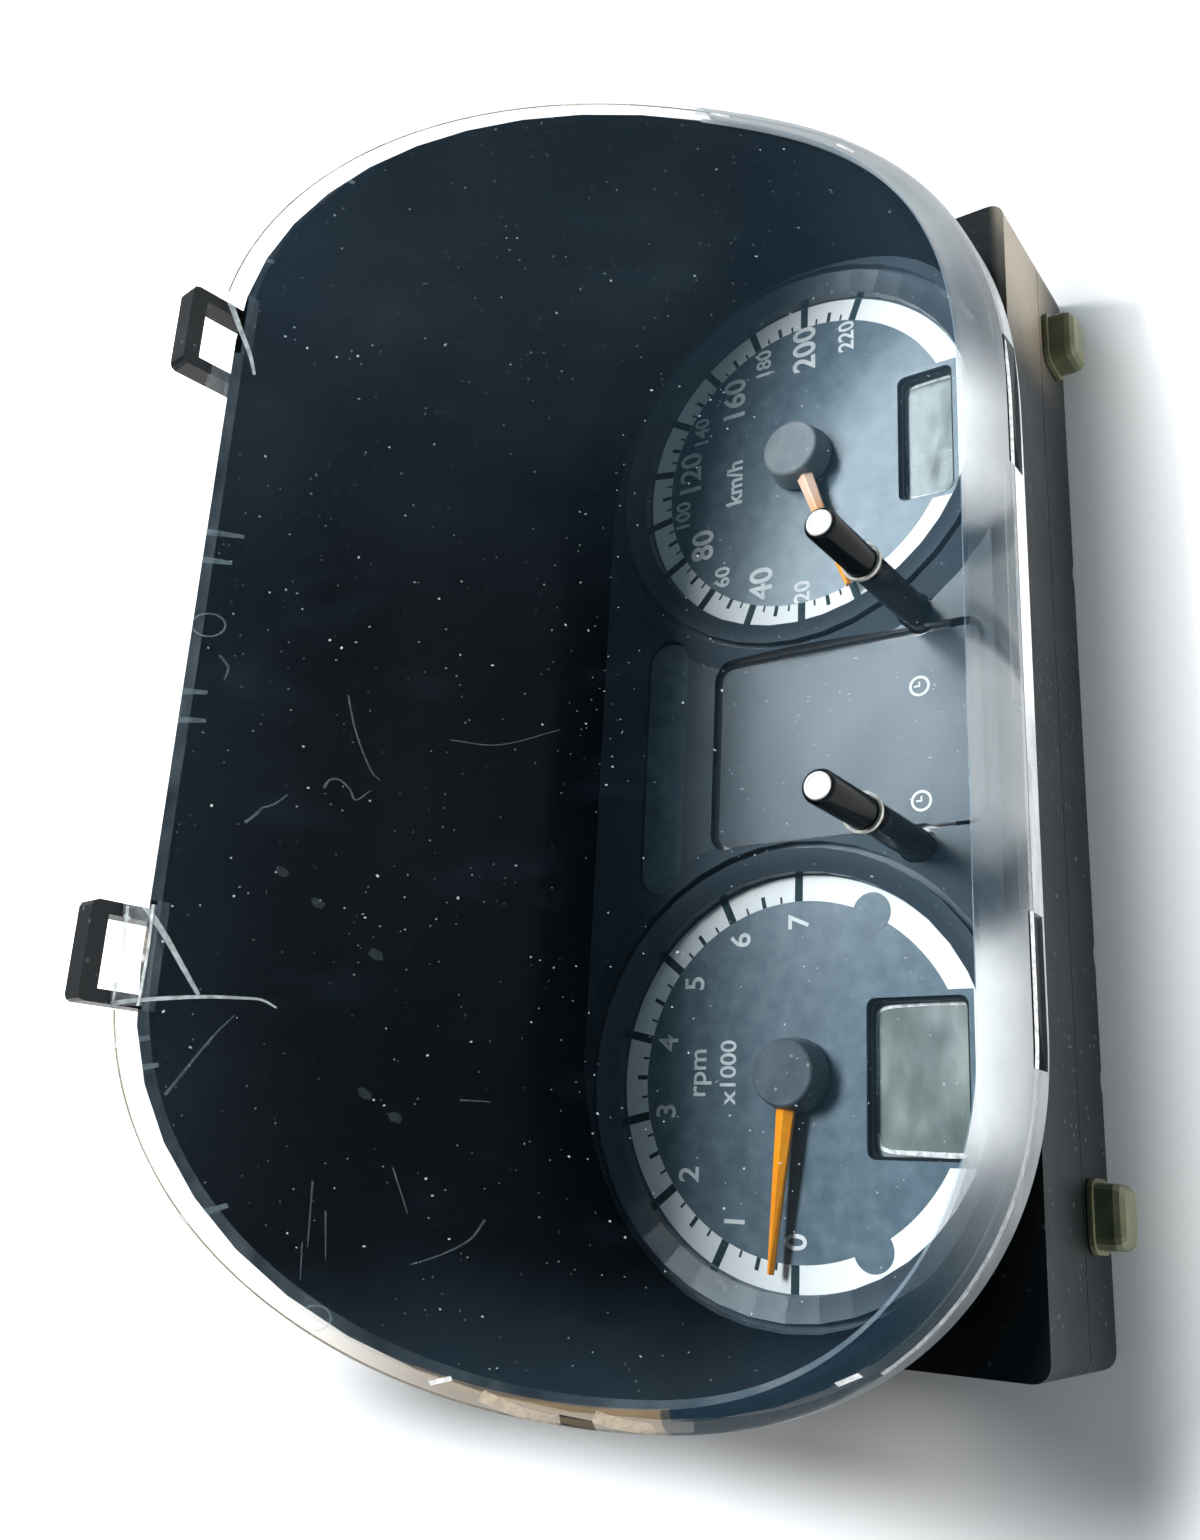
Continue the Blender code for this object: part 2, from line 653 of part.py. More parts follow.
def make_rear_cover():
    top = -BOX_SPLIT - GAP
    outer = cover_loops(0.0, -BOX_BACK)
    outer.append([(x, y, top) for x, y in box_outline()])
    inner = cover_loops(WALL, -BOX_BACK + WALL)
    inner.append([(x, y, top) for x, y in box_outline(WALL)])
    cover = solid_from_loops(outer + inner[::-1])
    column = SCREW_HEAD_RADIUS + GAP + COLUMN_WALL
    for x, y in boss_places():
        cover = join(cover, cylinder(column, -BOX_BACK + WALL / 2, top, x, y, 16))
    well_floor = top - COVER_SCREW_GRIP
    for x, y in boss_places():
        well = cylinder(SCREW_HEAD_RADIUS + GAP, -BOX_BACK - WALL, well_floor, x, y, 16)
        shank = cylinder(SCREW_RADIUS + GAP, well_floor - WALL, top + WALL, x, y, 12)
        cover = cut(cover, well, shank)
    half = CONNECTOR_WIDTH / 2 + SEAT_GAP
    deep = CONNECTOR_DEPTH / 2 + SEAT_GAP
    mouth = block((CONNECTOR_X - half, CONNECTOR_X + half), (CONNECTOR_Y - deep, CONNECTOR_Y + deep),
                  (-BOX_BACK - WALL, -BOX_BACK + 2 * WALL))
    cover = cut(cover, mouth)
    peg = CLIP_PEG / 2 + GAP
    for x in (LEFT_CLIP_X, RIGHT_CLIP_X):
        hole = block((x - peg, x + peg), (-BOX_BOTTOM - WALL, -BOX_BOTTOM + 2 * WALL),
                     (-CLIP_DEPTH - peg, -CLIP_DEPTH + peg))
        cover = cut(cover, hole)
    for x in VENT_XS:
        vent = turn(cylinder(VENT_RADIUS, -WALL * 1.5, WALL * 1.5, steps=12), math.pi / 2, "X")
        cover = cut(cover, move(vent, (x, -BOX_BOTTOM, -BOX_BACK)))
    put("rear_cover", cover, BLACK)


def make_lug(name, side):
    """A loop that stands on the hood's top wall, its bar just ahead of the lens edge."""
    half = LUG_WIDTH / 2
    length = LUG_BAR + LUG_HOLE + LUG_FOOT
    lug = block((-half, half), (0, LUG_DEPTH), (-length, 0))
    lug = bevel_edges(lug, LUG_ARM / 2, 2, lambda edge: is_along(edge, 1))
    hole = block((-half + LUG_ARM, half - LUG_ARM), (-LUG_DEPTH, 2 * LUG_DEPTH),
                 (-LUG_BAR - LUG_HOLE, -LUG_BAR))
    lug = cut(lug, hole)
    foot = block((-half + LUG_ARM, half - LUG_ARM), (GAP - LUG_STANDOFF, LUG_DEPTH / 2),
                 (-length + LUG_ARM, -length + LUG_FOOT - LUG_ARM))
    lug = join(lug, foot)
    lug = turn(lug, -hood_lean(), "X")
    place = (LUG_XS[side], hood_top_wall(LUG_TOP) + LUG_STANDOFF, LUG_TOP)
    put(name, lug, BLACK, place)


def is_along(edge, axis):
    along = edge.verts[1].co - edge.verts[0].co
    return abs(along[axis]) > 0.99 * along.length


def make_clip(name, x):
    """A soft plug: a peg through the cover's wall, a flange against it and a rounded head."""
    half = CLIP_WIDTH / 2
    tall = CLIP_HEIGHT / 2
    peg = CLIP_PEG / 2
    edge = CLIP_FLANGE_MARGIN
    low = -CLIP_FLANGE - CLIP_PEG_LENGTH
    sections = [(peg - edge, peg - edge, edge / 2, low), (peg, peg, edge, low + edge),
                (peg, peg, edge, -CLIP_FLANGE), (half + edge, tall + edge, CLIP_ROUND + edge, -CLIP_FLANGE),
                (half + edge, tall + edge, CLIP_ROUND + edge, 0), (half, tall, CLIP_ROUND, 0)]
    for degrees in (0, 30, 60, 90):
        angle = math.radians(degrees)
        drawn_in = CLIP_ROUND * (1 - math.cos(angle))
        corner = CLIP_ROUND * (2 + math.cos(angle)) / 3
        height = CLIP_REACH - CLIP_ROUND * (1 - math.sin(angle))
        sections.append((half - drawn_in, tall - drawn_in, corner, height))
    loops = [[(px, py, z) for px, py in rounded_rectangle((-a, a), (-b, b), corner, 3)]
             for a, b, corner, z in sections]
    clip = turn(solid_from_loops(loops), math.pi / 2, "X")
    put(name, clip, NYLON, (x, -BOX_BOTTOM - GAP - CLIP_FLANGE, -CLIP_DEPTH))


def make_screw(name, x, y, seat, length):
    """A pan-head screw driven upwards; seat is the height its head bears on."""
    head = turned([(0, -SCREW_HEAD_HEIGHT), (SCREW_HEAD_RADIUS * 0.7, -SCREW_HEAD_HEIGHT),
                   (SCREW_HEAD_RADIUS, -SCREW_HEAD_HEIGHT * 0.6), (SCREW_HEAD_RADIUS, 0),
                   (SCREW_RADIUS, 0), (SCREW_RADIUS, length - SCREW_RADIUS),
                   (SCREW_RADIUS * 0.5, length), (0, length)], 12)
    arm = SCREW_HEAD_RADIUS * 0.55
    bar = SCREW_HEAD_RADIUS * 0.14
    depth = (-SCREW_HEAD_HEIGHT * 2, -SCREW_HEAD_HEIGHT + SCREW_RECESS)
    head = cut(head, block((-arm, arm), (-bar, bar), depth), block((-bar, bar), (-arm, arm), depth))
    put(name, head, STEEL, (x, y, seat - GAP))


# ---------------------------------------------------------------- face
def bezel(cx):
    """Ring round a dial: inner wall, cone up to the crest, a groove and a soft collar."""
    root = (MASK_BACK + MASK_FACE) / 2
    crest_end = BEZEL_CREST_RADIUS + GROOVE_WIDTH
    profile = [(BEZEL_BORE, GAP), (BEZEL_BORE, BEZEL_WALL_TOP), (BEZEL_CREST_RADIUS, BEZEL_CREST),
               (BEZEL_CREST_RADIUS, BEZEL_CREST - GROOVE_DEPTH), (crest_end, BEZEL_CREST - GROOVE_DEPTH),
               (crest_end, BEZEL_CREST), (COLLAR_RADIUS, MASK_FACE - COLLAR_SINK),
               (COLLAR_RADIUS, root), (crest_end, root), (BEZEL_CREST_RADIUS, GAP)]
    return turned(profile, ROUND_STEPS, cx)


def mask_outline():
    return inset(hood_foot(inset(lens_outline(), HOOD_INSET)), HOOD_WALL + SEAT_GAP)


def panel_range(grow):
    half = PANEL_HALF_WIDTH + grow
    return (-half, half), (PANEL_BOTTOM - grow, PANEL_TOP + grow)


def pill_outline(shrink=0.0):
    half = PILL_HALF_WIDTH - shrink
    tall = PILL_HALF_HEIGHT - shrink
    return rounded_rectangle((-half, half), (PILL_CENTRE_Y - tall, PILL_CENTRE_Y + tall), tall * 0.999, 6)


def make_mask():
    plate = block((-LENS_HALF_WIDTH, LENS_HALF_WIDTH), (-LENS_TOP, LENS_TOP), (MASK_BACK, MASK_FACE))
    low = -BEZEL_CREST
    high = 2 * BEZEL_CREST
    for cx in DIAL_CENTRES.values():
        plate = cut(plate, cylinder(BEZEL_CREST_RADIUS + GROOVE_WIDTH / 2, low, high, cx, steps=ROUND_STEPS))
    for cx in DIAL_CENTRES.values():
        plate = join(plate, bezel(cx))
    plate = boolean(plate, prism(mask_outline(), low, high), "INTERSECT")
    across, along = panel_range(PANEL_MARGIN)
    plate = cut(plate, prism(rounded_rectangle(across, along, PANEL_CORNER + PANEL_MARGIN), low, high))
    plate = cut(plate, prism(pill_outline(), low, high))
    for side in (-1, 1):
        hole = cylinder(STALK_RADIUS + ROD_GAP, low, high, side * STALK_X, STALK_Y, 20)
        plate = cut(plate, hole)
    for x, y in MASK_FEET:
        foot = cylinder(MASK_FOOT_RADIUS, -BOX_FRONT, (MASK_BACK + MASK_FACE) / 2, x, y, 12)
        plate = join(plate, foot)
    put("dial_mask", plate, MASK)


def make_centre_panel():
    across, along = panel_range(0.0)
    low = -LAMP_TOP + GAP
    panel = prism(rounded_rectangle(across, along, PANEL_CORNER), low, MASK_FACE - PANEL_DROP)
    for side in (-1, 1):
        clear = STALK_RADIUS + ROD_GAP + PANEL_MARGIN
        hole = cylinder(clear, low - GAP, MASK_FACE, side * STALK_X, STALK_Y, 20)
        panel = cut(panel, hole)
    put("centre_panel", panel, MASK)


def make_telltale_window():
    pane = prism(pill_outline(SEAT_GAP), -LAMP_TOP + GAP, MASK_FACE - PILL_DROP)
    put("telltale_window", pane, PRINT)


def make_dial(dial, cx):
    plate = cylinder(RING_RADIUS + DIAL_RIM, -DIAL_THICKNESS, 0, steps=ROUND_STEPS)
    across, along = lcd_window(dial)
    window = prism(rounded_rectangle(across, along, LCD_CORNER), -2 * DIAL_THICKNESS, DIAL_THICKNESS)
    bore = cylinder(DIAL_BORE_RADIUS, -2 * DIAL_THICKNESS, DIAL_THICKNESS, steps=16)
    put(dial + "_dial", cut(plate, window, bore), PRINT, (cx, 0, 0))


def grown(pair, amount):
    return pair[0] - amount, pair[1] + amount


def make_lcd(dial, cx):
    """Frame down to the board, display glass under its lip, and the diffuser behind it."""
    across, along = lcd_window(dial)
    outer = rounded_rectangle(grown(across, LCD_FRAME), grown(along, LCD_FRAME), LCD_CORNER + LCD_FRAME)
    frame = prism(outer, -LAMP_BOTTOM, -LAMP_TOP)
    lip = rounded_rectangle(grown(across, -LCD_LIP), grown(along, -LCD_LIP), LCD_CORNER)
    frame = cut(frame, prism(lip, -LAMP_BOTTOM - WALL, 0))
    pocket = rounded_rectangle(across, along, LCD_CORNER)
    frame = cut(frame, prism(pocket, -LAMP_BOTTOM - WALL, -LCD_DEPTH))
    put(dial + "_lcd_frame", frame, BLACK, (cx, 0, 0))
    inner = rounded_rectangle(grown(across, -GAP), grown(along, -GAP), LCD_CORNER)
    glass_top = -LCD_DEPTH - GAP
    put(dial + "_lcd_glass", prism(inner, glass_top - LCD_GLASS, glass_top), GLASS, (cx, 0, 0))
    diffuser = prism(inner, -LAMP_BOTTOM, glass_top - LCD_GLASS - GAP)
    put(dial + "_lcd_diffuser", diffuser, WHITE, (cx, 0, 0))


def make_light_box():
    lamp = lamp_solid(0.0, -LAMP_BOTTOM, -LAMP_TOP)
    lip_top = -BOX_FRONT - SHELF - GAP
    lamp = join(lamp, lamp_solid(LAMP_LIP, lip_top - LAMP_LIP_HEIGHT, lip_top))
    roof = -LAMP_TOP - LAMP_FRONT
    floor = -LAMP_BOTTOM - WALL
    middle = block(grown((-LAMP_CENTRE_HALF_WIDTH, LAMP_CENTRE_HALF_WIDTH), -LAMP_WALL),
                   grown((LAMP_CENTRE_BOTTOM, LAMP_CENTRE_TOP), -LAMP_WALL), (floor, roof))
    for cx in DIAL_CENTRES.values():
        middle = cut(middle, cylinder(LAMP_RADIUS, floor - WALL, 0, cx, steps=ROUND_STEPS))
    lamp = cut(lamp, middle)
    for dial, cx in DIAL_CENTRES.items():
        drum = cylinder(LAMP_RADIUS - LAMP_WALL, floor, roof, cx, steps=ROUND_STEPS)
        hole = cylinder(DIAL_BORE_RADIUS, roof - WALL, 0, cx, steps=16)
        across, along = lcd_window(dial)
        margin = LCD_FRAME + SEAT_GAP
        shape = rounded_rectangle(grown(across, margin), grown(along, margin), LCD_CORNER + margin)
        window = move(prism(shape, roof - WALL, 0), (cx, 0, 0))
        lamp = cut(lamp, drum, hole, window)
    for side in (-1, 1):
        lamp = cut(lamp, cylinder(STALK_RADIUS + ROD_GAP, roof - WALL, 0, side * STALK_X, STALK_Y, 20))
    shape = pill_outline(LAMP_WALL)
    lamp = cut(lamp, prism(shape, roof - WALL, 0))
    put("light_box", lamp, WHITE)


# ---------------------------------------------------------------- electronics
def make_board():
    margin = WALL + BOARD_EDGE_GAP
    board = prism(box_outline(margin, margin + BOARD_CORNER), -BOARD_BACK, -BOARD_TOP)
    for x, y in boss_places():
        clear = SCREW_HEAD_RADIUS + GAP + COLUMN_WALL + SEAT_GAP
        board = cut(board, cylinder(clear, -BOARD_BACK - WALL, -BOARD_TOP + WALL, x, y, 16))
    for x, y in post_places():
        hole = cylinder(SCREW_RADIUS + GAP, -BOARD_BACK - WALL, -BOARD_TOP + WALL, x, y, 12)
        board = cut(board, hole)
    put("circuit_board", board, BOARD)


def make_motor(dial, cx):
    half = MOTOR_WIDTH / 2
    base = -LAMP_BOTTOM
    top = base + MOTOR_HEIGHT
    case = prism(rounded_rectangle((-half, half), (-half, half), MOTOR_CORNER), base, top)
    tower = cylinder(MOTOR_TOWER_RADIUS, top - WALL, top + MOTOR_TOWER, steps=16)
    socket = cylinder(SHAFT_RADIUS + GAP, top + MOTOR_TOWER - SHAFT_SOCKET, 0, steps=12)
    put(dial + "_motor", cut(join(case, tower), socket), CHIP, (cx, 0, 0))
    return top + MOTOR_TOWER - SHAFT_SOCKET


def make_pointer(dial, cx, angle, socket_floor):
    axis = axis_empty(dial + "_pointer_axis", (cx, 0, 0))
    disc_top = NEEDLE_BASE + NEEDLE_HEIGHT
    shaft = cylinder(SHAFT_RADIUS, socket_floor + GAP, disc_top - GAP, steps=12)
    put(dial + "_motor_shaft", shaft, STEEL, parent=axis)
    put(dial + "_pointer", needle(angle), ORANGE, parent=axis)
    edge = (HUB_TOP_RADIUS - HUB_EDGE, HUB_TOP)
    cap = turned([(0, HUB_TOP), edge, (HUB_TOP_RADIUS, HUB_TOP - HUB_EDGE), (HUB_BASE_RADIUS, HUB_BASE),
                  (HUB_DISC_RADIUS + GAP, HUB_BASE), (HUB_DISC_RADIUS + GAP, disc_top + GAP),
                  (0, disc_top + GAP)], 28)
    slot = NEEDLE_ROOT_WIDTH / 2 + GAP
    opening = block((0, HUB_BASE_RADIUS * 2), (-slot, slot), (0, disc_top + GAP))
    put(dial + "_hub_cap", cut(cap, turn(opening, angle, "Z")), BLACK, parent=axis)


def needle(angle):
    """A tapered blade with a ridge along it, on a disc that the shaft passes through."""
    loops = []
    for x, width, height in ((HUB_DISC_RADIUS / 2, NEEDLE_ROOT_WIDTH, NEEDLE_HEIGHT),
                             (HUB_BASE_RADIUS, NEEDLE_ROOT_WIDTH, NEEDLE_HEIGHT),
                             (NEEDLE_TIP, NEEDLE_TIP_WIDTH, NEEDLE_HEIGHT * 0.6)):
        side = width / 2
        shoulder = NEEDLE_BASE + height * 0.45
        loops.append([(x, -side, NEEDLE_BASE), (x, side, NEEDLE_BASE), (x, side, shoulder),
                      (x, side * 0.15, NEEDLE_BASE + height), (x, -side * 0.15, NEEDLE_BASE + height),
                      (x, -side, shoulder)])
    blade = solid_from_loops(loops)
    disc = cylinder(HUB_DISC_RADIUS, NEEDLE_BASE, NEEDLE_BASE + NEEDLE_HEIGHT, steps=20)
    bore = cylinder(SHAFT_RADIUS + GAP, 0, HUB_TOP, steps=12)
    return turn(cut(join(disc, blade), bore), angle, "Z")


def make_stalk(side_name, side):
    """A push rod, its bright cap and the switch plunger under it, all on one sliding axis."""
    axis = axis_empty(side_name + "_stalk_axis", (side * STALK_X, STALK_Y, 0))
    switch_base = -LAMP_BOTTOM
    switch_top = switch_base + SWITCH_HEIGHT
    plunger_top = switch_top + PLUNGER_HEIGHT
    low = plunger_top + GAP
    flange = -LAMP_TOP - LAMP_FRONT - GAP
    recess = STALK_TIP - CAP_DEPTH
    rod = turned([(0, low), (STALK_RADIUS - CAP_PROUD, low), (STALK_RADIUS, low + CAP_PROUD),
                  (STALK_RADIUS, flange - COLLAR_HEIGHT), (COLLAR_FLANGE, flange - COLLAR_HEIGHT),
                  (COLLAR_FLANGE, flange), (STALK_RADIUS, flange),
                  (STALK_RADIUS, STALK_TIP - CAP_PROUD), (STALK_RADIUS - CAP_PROUD, STALK_TIP),
                  (CAP_RADIUS + GAP, STALK_TIP), (CAP_RADIUS + GAP, recess), (0, recess)], 24)
    put(side_name + "_push_stalk", rod, BLACK, parent=axis)
    top = STALK_TIP + CAP_PROUD
    cap = turned([(0, recess + GAP), (CAP_RADIUS, recess + GAP), (CAP_RADIUS, top - CAP_PROUD),
                  (CAP_RADIUS - CAP_PROUD, top), (0, top)], 20)
    put(side_name + "_stalk_cap", cap, CAPWHITE, parent=axis)
    plunger_low = switch_top - SWITCH_HEIGHT / 3
    plunger = cylinder(PLUNGER_RADIUS, plunger_low, plunger_top, steps=14)
    put(side_name + "_switch_plunger", plunger, CAPWHITE, parent=axis)
    half = SWITCH_WIDTH / 2
    body = block((-half, half), (-half, half), (switch_base, switch_top))
    well = cylinder(PLUNGER_RADIUS + GAP, plunger_low - STALK_TRAVEL - GAP, switch_top + WALL, steps=14)
    put(side_name + "_push_switch", cut(body, well), CHIP, (side * STALK_X, STALK_Y, 0))


def make_box_part(name, spec, centre, size, front):
    """A board component as a block with bevelled edges, on the board's front or back."""
    width, depth, height = size
    if front:
        base = -BOARD_TOP + GAP
        span = (base, base + height)
    else:
        base = -BOARD_BACK - GAP
        span = (base - height, base)
    body = block((-width / 2, width / 2), (-depth / 2, depth / 2), span)
    body = bevel_edges(body, min(size) * BOARD_PART_ROUND, 1, lambda edge: True)
    put(name, body, spec, (*centre, 0))


def make_round_part(name, spec, centre, radius, height):
    """A round component on the back of the board."""
    low = -BOARD_BACK - GAP - height
    edge = radius * BOARD_PART_ROUND
    top = low + height
    body = turned([(0, low), (radius - edge, low), (radius, low + edge), (radius, top), (0, top)], 20)
    put(name, body, spec, (*centre, 0))


def make_connector():
    """The plug socket on the back of the board: a shell round a block that holds the pins."""
    half = CONNECTOR_WIDTH / 2
    deep = CONNECTOR_DEPTH / 2
    mouth = -BOX_BACK + CONNECTOR_INSET
    base = -BOARD_BACK - GAP
    shell = block((-half, half), (-deep, deep), (mouth, base))
    inner = block(grown((-half, half), -CONNECTOR_WALL), grown((-deep, deep), -CONNECTOR_WALL),
                  (mouth - WALL, base - PIN_BLOCK))
    put("rear_connector", cut(shell, inner), CHIP, (CONNECTOR_X, CONNECTOR_Y, 0))


def make_electronics():
    make_board()
    make_connector()
    for name, spec, x, y, size in (("microcontroller", CHIP, CONTROLLER_X, LOW_ROW_Y, CONTROLLER_SIZE),
                                   ("memory_chip", CHIP, MEMORY_X, LOW_ROW_Y, MEMORY_SIZE),
                                   ("quartz_crystal", STEEL, CRYSTAL_X, LOW_ROW_Y, CRYSTAL_SIZE),
                                   ("voltage_regulator", CHIP, REGULATOR_X, HIGH_ROW_Y, REGULATOR_SIZE)):
        make_box_part(name, spec, (x, y), size, False)
    for k in range(2):
        place = (CAPACITOR_X + k * CAPACITOR_SPACING, LOW_ROW_Y)
        make_round_part(f"filter_capacitor_{k + 1}", CHIP, place, CAPACITOR_RADIUS, CAPACITOR_HEIGHT)
    make_round_part("warning_buzzer", CHIP, (BUZZER_X, HIGH_ROW_Y), BUZZER_RADIUS, BUZZER_HEIGHT)
    for k in range(LED_COUNT):
        x = (k - (LED_COUNT - 1) / 2) * LED_SPACING
        make_box_part(f"telltale_led_{k + 1}", WHITE, (x, PILL_CENTRE_Y), LED_SIZE, True)


def build():
    clear_scene()
    make_lens()
    make_housing()
    make_rear_cover()
    make_mask()
    make_centre_panel()
    make_telltale_window()
    make_light_box()
    make_electronics()
    angles = {"tacho": TACHO_ANGLE, "speedo": SPEEDO_ANGLE}
    for dial, cx in DIAL_CENTRES.items():
        make_dial(dial, cx)
        make_lcd(dial, cx)
        make_pointer(dial, cx, angles[dial], make_motor(dial, cx))
    for name, side in (("left", -1), ("right", 1)):
        make_stalk(name, side)
        make_lug(name + "_mounting_lug", side)
    make_clip("left_locating_clip", LEFT_CLIP_X)
    make_clip("right_locating_clip", RIGHT_CLIP_X)
    seat = -BOX_SPLIT - GAP - COVER_SCREW_GRIP
    for k, (x, y) in enumerate(boss_places()):
        make_screw(f"cover_screw_{k + 1}", x, y, seat, COVER_SCREW_LENGTH)
    for k, (x, y) in enumerate(post_places()):
        make_screw(f"board_screw_{k + 1}", x, y, -BOARD_BACK, BOARD_SCREW_LENGTH)


build()
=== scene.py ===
"""Finishes, clear lens, dial printing, lights and camera of the instrument cluster.

Design coordinates start at the dial faces, midway between the dials, as in the solids:
+X is the driver's right, +Y is up on the dials and +Z points at the driver.  Metres.
"""
import math
import random

import bpy
from mathutils import Matrix, Vector


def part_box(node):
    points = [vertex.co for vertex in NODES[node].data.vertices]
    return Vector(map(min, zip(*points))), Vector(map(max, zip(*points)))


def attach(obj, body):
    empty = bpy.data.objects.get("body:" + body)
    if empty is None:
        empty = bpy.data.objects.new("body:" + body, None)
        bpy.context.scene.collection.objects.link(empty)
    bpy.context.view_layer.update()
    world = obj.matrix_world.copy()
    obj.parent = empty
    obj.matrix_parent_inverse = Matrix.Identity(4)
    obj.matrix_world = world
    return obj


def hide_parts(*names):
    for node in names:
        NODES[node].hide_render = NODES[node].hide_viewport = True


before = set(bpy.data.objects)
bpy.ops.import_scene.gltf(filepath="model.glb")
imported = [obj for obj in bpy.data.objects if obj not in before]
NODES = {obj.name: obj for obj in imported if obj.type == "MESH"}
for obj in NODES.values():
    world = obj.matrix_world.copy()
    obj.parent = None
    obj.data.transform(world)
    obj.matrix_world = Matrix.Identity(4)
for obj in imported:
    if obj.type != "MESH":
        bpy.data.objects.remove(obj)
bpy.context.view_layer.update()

# ---- sizes
DIAL_RIM = 0.0018
dial_low, dial_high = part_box("tacho_dial")
RING = (dial_high.x - dial_low.x) / 2 - DIAL_RIM       # outer radius of the scale ring
SPACING = -(dial_high.x + dial_low.x) / 2
ORIGIN = Vector((0, (dial_high.y + dial_low.y) / 2, dial_high.z))
DIALS = {"tacho": -SPACING, "speedo": SPACING}

lens_low, lens_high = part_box("front_lens")
LENS_ANGLE = math.radians(40.7)
LENS_SLOPE = math.tan(LENS_ANGLE)
LENS_HEIGHT = 0.0584            # height of its flat front over the middle of the dials
LENS_HALF_WIDTH = lens_high.x
LENS_TOP = lens_high.y - ORIGIN.y
LENS_BOTTOM = ORIGIN.y - lens_low.y
LENS_ARC_X = SPACING - 0.0090
CORNER_UPPER = 2.06             # exponents of the corners: 2 is an ellipse, more is squarer
CORNER_LOWER_LEFT = 2.15
CORNER_LOWER_RIGHT = 2.85
CORNER_STEPS = 44
LENS_WALL = 0.0022
LENS_WALL_Z = LENS_WALL / math.cos(LENS_ANGLE)
SKIRT_DEPTH = 0.0070
SKIRT_FROM = 0.0004             # the skirt's finish starts this far below the rounded edge
RIM_FROM = -0.0015              # above this place the edge is see-through
ROUND_LEAST = 0.0003            # smallest radius inside the lens's edge
HAIR = 0.0001                   # a small allowance
PAST = 0.004                    # how far a cutting tool reaches past the lens
EDGE_ROUND_TOP = 0.0028
EDGE_ROUND_BOTTOM = 0.0075
BAND_TOP = 0.0038               # flat band outside the clear pane, at the top
BAND_BOTTOM = 0.0002
SNAP_RANGES = ((-SPACING + 0.0012, -SPACING + 0.0324), (SPACING - 0.0180, SPACING + 0.0160))
SNAP_LOW = -0.0029
SNAP_TALL = 0.0082
SNAP_IN = 0.005
SNAP_GAP = 0.0005
NOTCH_FLOOR = 0.0736
ARM_SLOT_FLOOR = 0.0780
LUG_HALF = 0.0104
# Each notch: its middle, its two sides, and the two sides of the slot for the loop's arms.
NOTCHES = ((-SPACING + 0.0107, -LUG_HALF, 0.0104, -LUG_HALF, 0.0104),
           (SPACING - 0.0093, -0.0046, LUG_HALF, -LUG_HALF, LUG_HALF))

STALK_X = 0.0283
STALK_Y = -0.0307
STALK_RADIUS = 0.0037
STALK_GAP = 0.0006              # between the stalk and its hole in the lens
HUB_RADIUS = 0.0075
PRINT = 0.00006                 # thickness of the printing
RING_INNER = 0.87 * RING
TACHO_MARKS = [180 - 180 / 7 * k for k in range(8)]             # angles of the long marks
SPEEDO_MARKS = [200 - 20 * k for k in range(12)]
SHORT_MARKS = ((0.25, 0.905 * RING, 0.0005), (0.50, 0.930 * RING, 0.0010), (0.75, 0.905 * RING, 0.0005))
LOBE = (0.785 * RING, -0.397 * RING, 0.10 * RING)               # place and radius of a bay
CLOCKS = ((0.22 * RING, -0.67 * RING), (-0.38 * RING, -0.67 * RING))
DIGIT_SHARE = 0.70              # height of a digit in the font's own units


def at(x, y, z=0.0):
    """A place in design coordinates, in the world."""
    return ORIGIN + Vector((x, y, z))


# ---- materials
SPECK_DENSITY = 420.0           # cells of dust to a metre
SPECK_SIZE = 0.20               # size of a speck in its cell
SPECK_BARE = 0.72               # share of the cells without a speck
SUNLIT_PATCH_REACH = ((0.107, 0.134), (-0.049, -0.052), (-0.050, -0.020))   # patch of painted sunlight at one end: from none to all, on X, Y, Z
LENS_END = 0.147                # where the painting of the lens's lower edge ends, left and right
WOBBLE = 0.003                  # how far what is painted on the rounded edge strays
PAINTED_GLOWS = ((0.064, 0.030, 0.006), (-0.074, 0.034, 0.012))         # painted glows in it: place, reach and core
PAINTED_SHADE_WEDGES = (                      # painted shade between them, as dark wedges: place, lean and reach
    (0.034, 0.013, 0.0075), (0.017, -0.009, 0.0060), (-0.045, 0.010, 0.0110),
)
PAINTED_EDGE_LIGHT = (                  # painted light of the lower edge, seen edge on: share of the way along it, and light
    (0.0, 0.08), (0.08, 0.16), (0.16, 0.30), (0.24, 0.42), (0.33, 0.62), (0.49, 0.74),
    (0.52, 0.96), (0.66, 1.0), (0.79, 0.72), (0.90, 0.52), (1.0, 0.40),
)

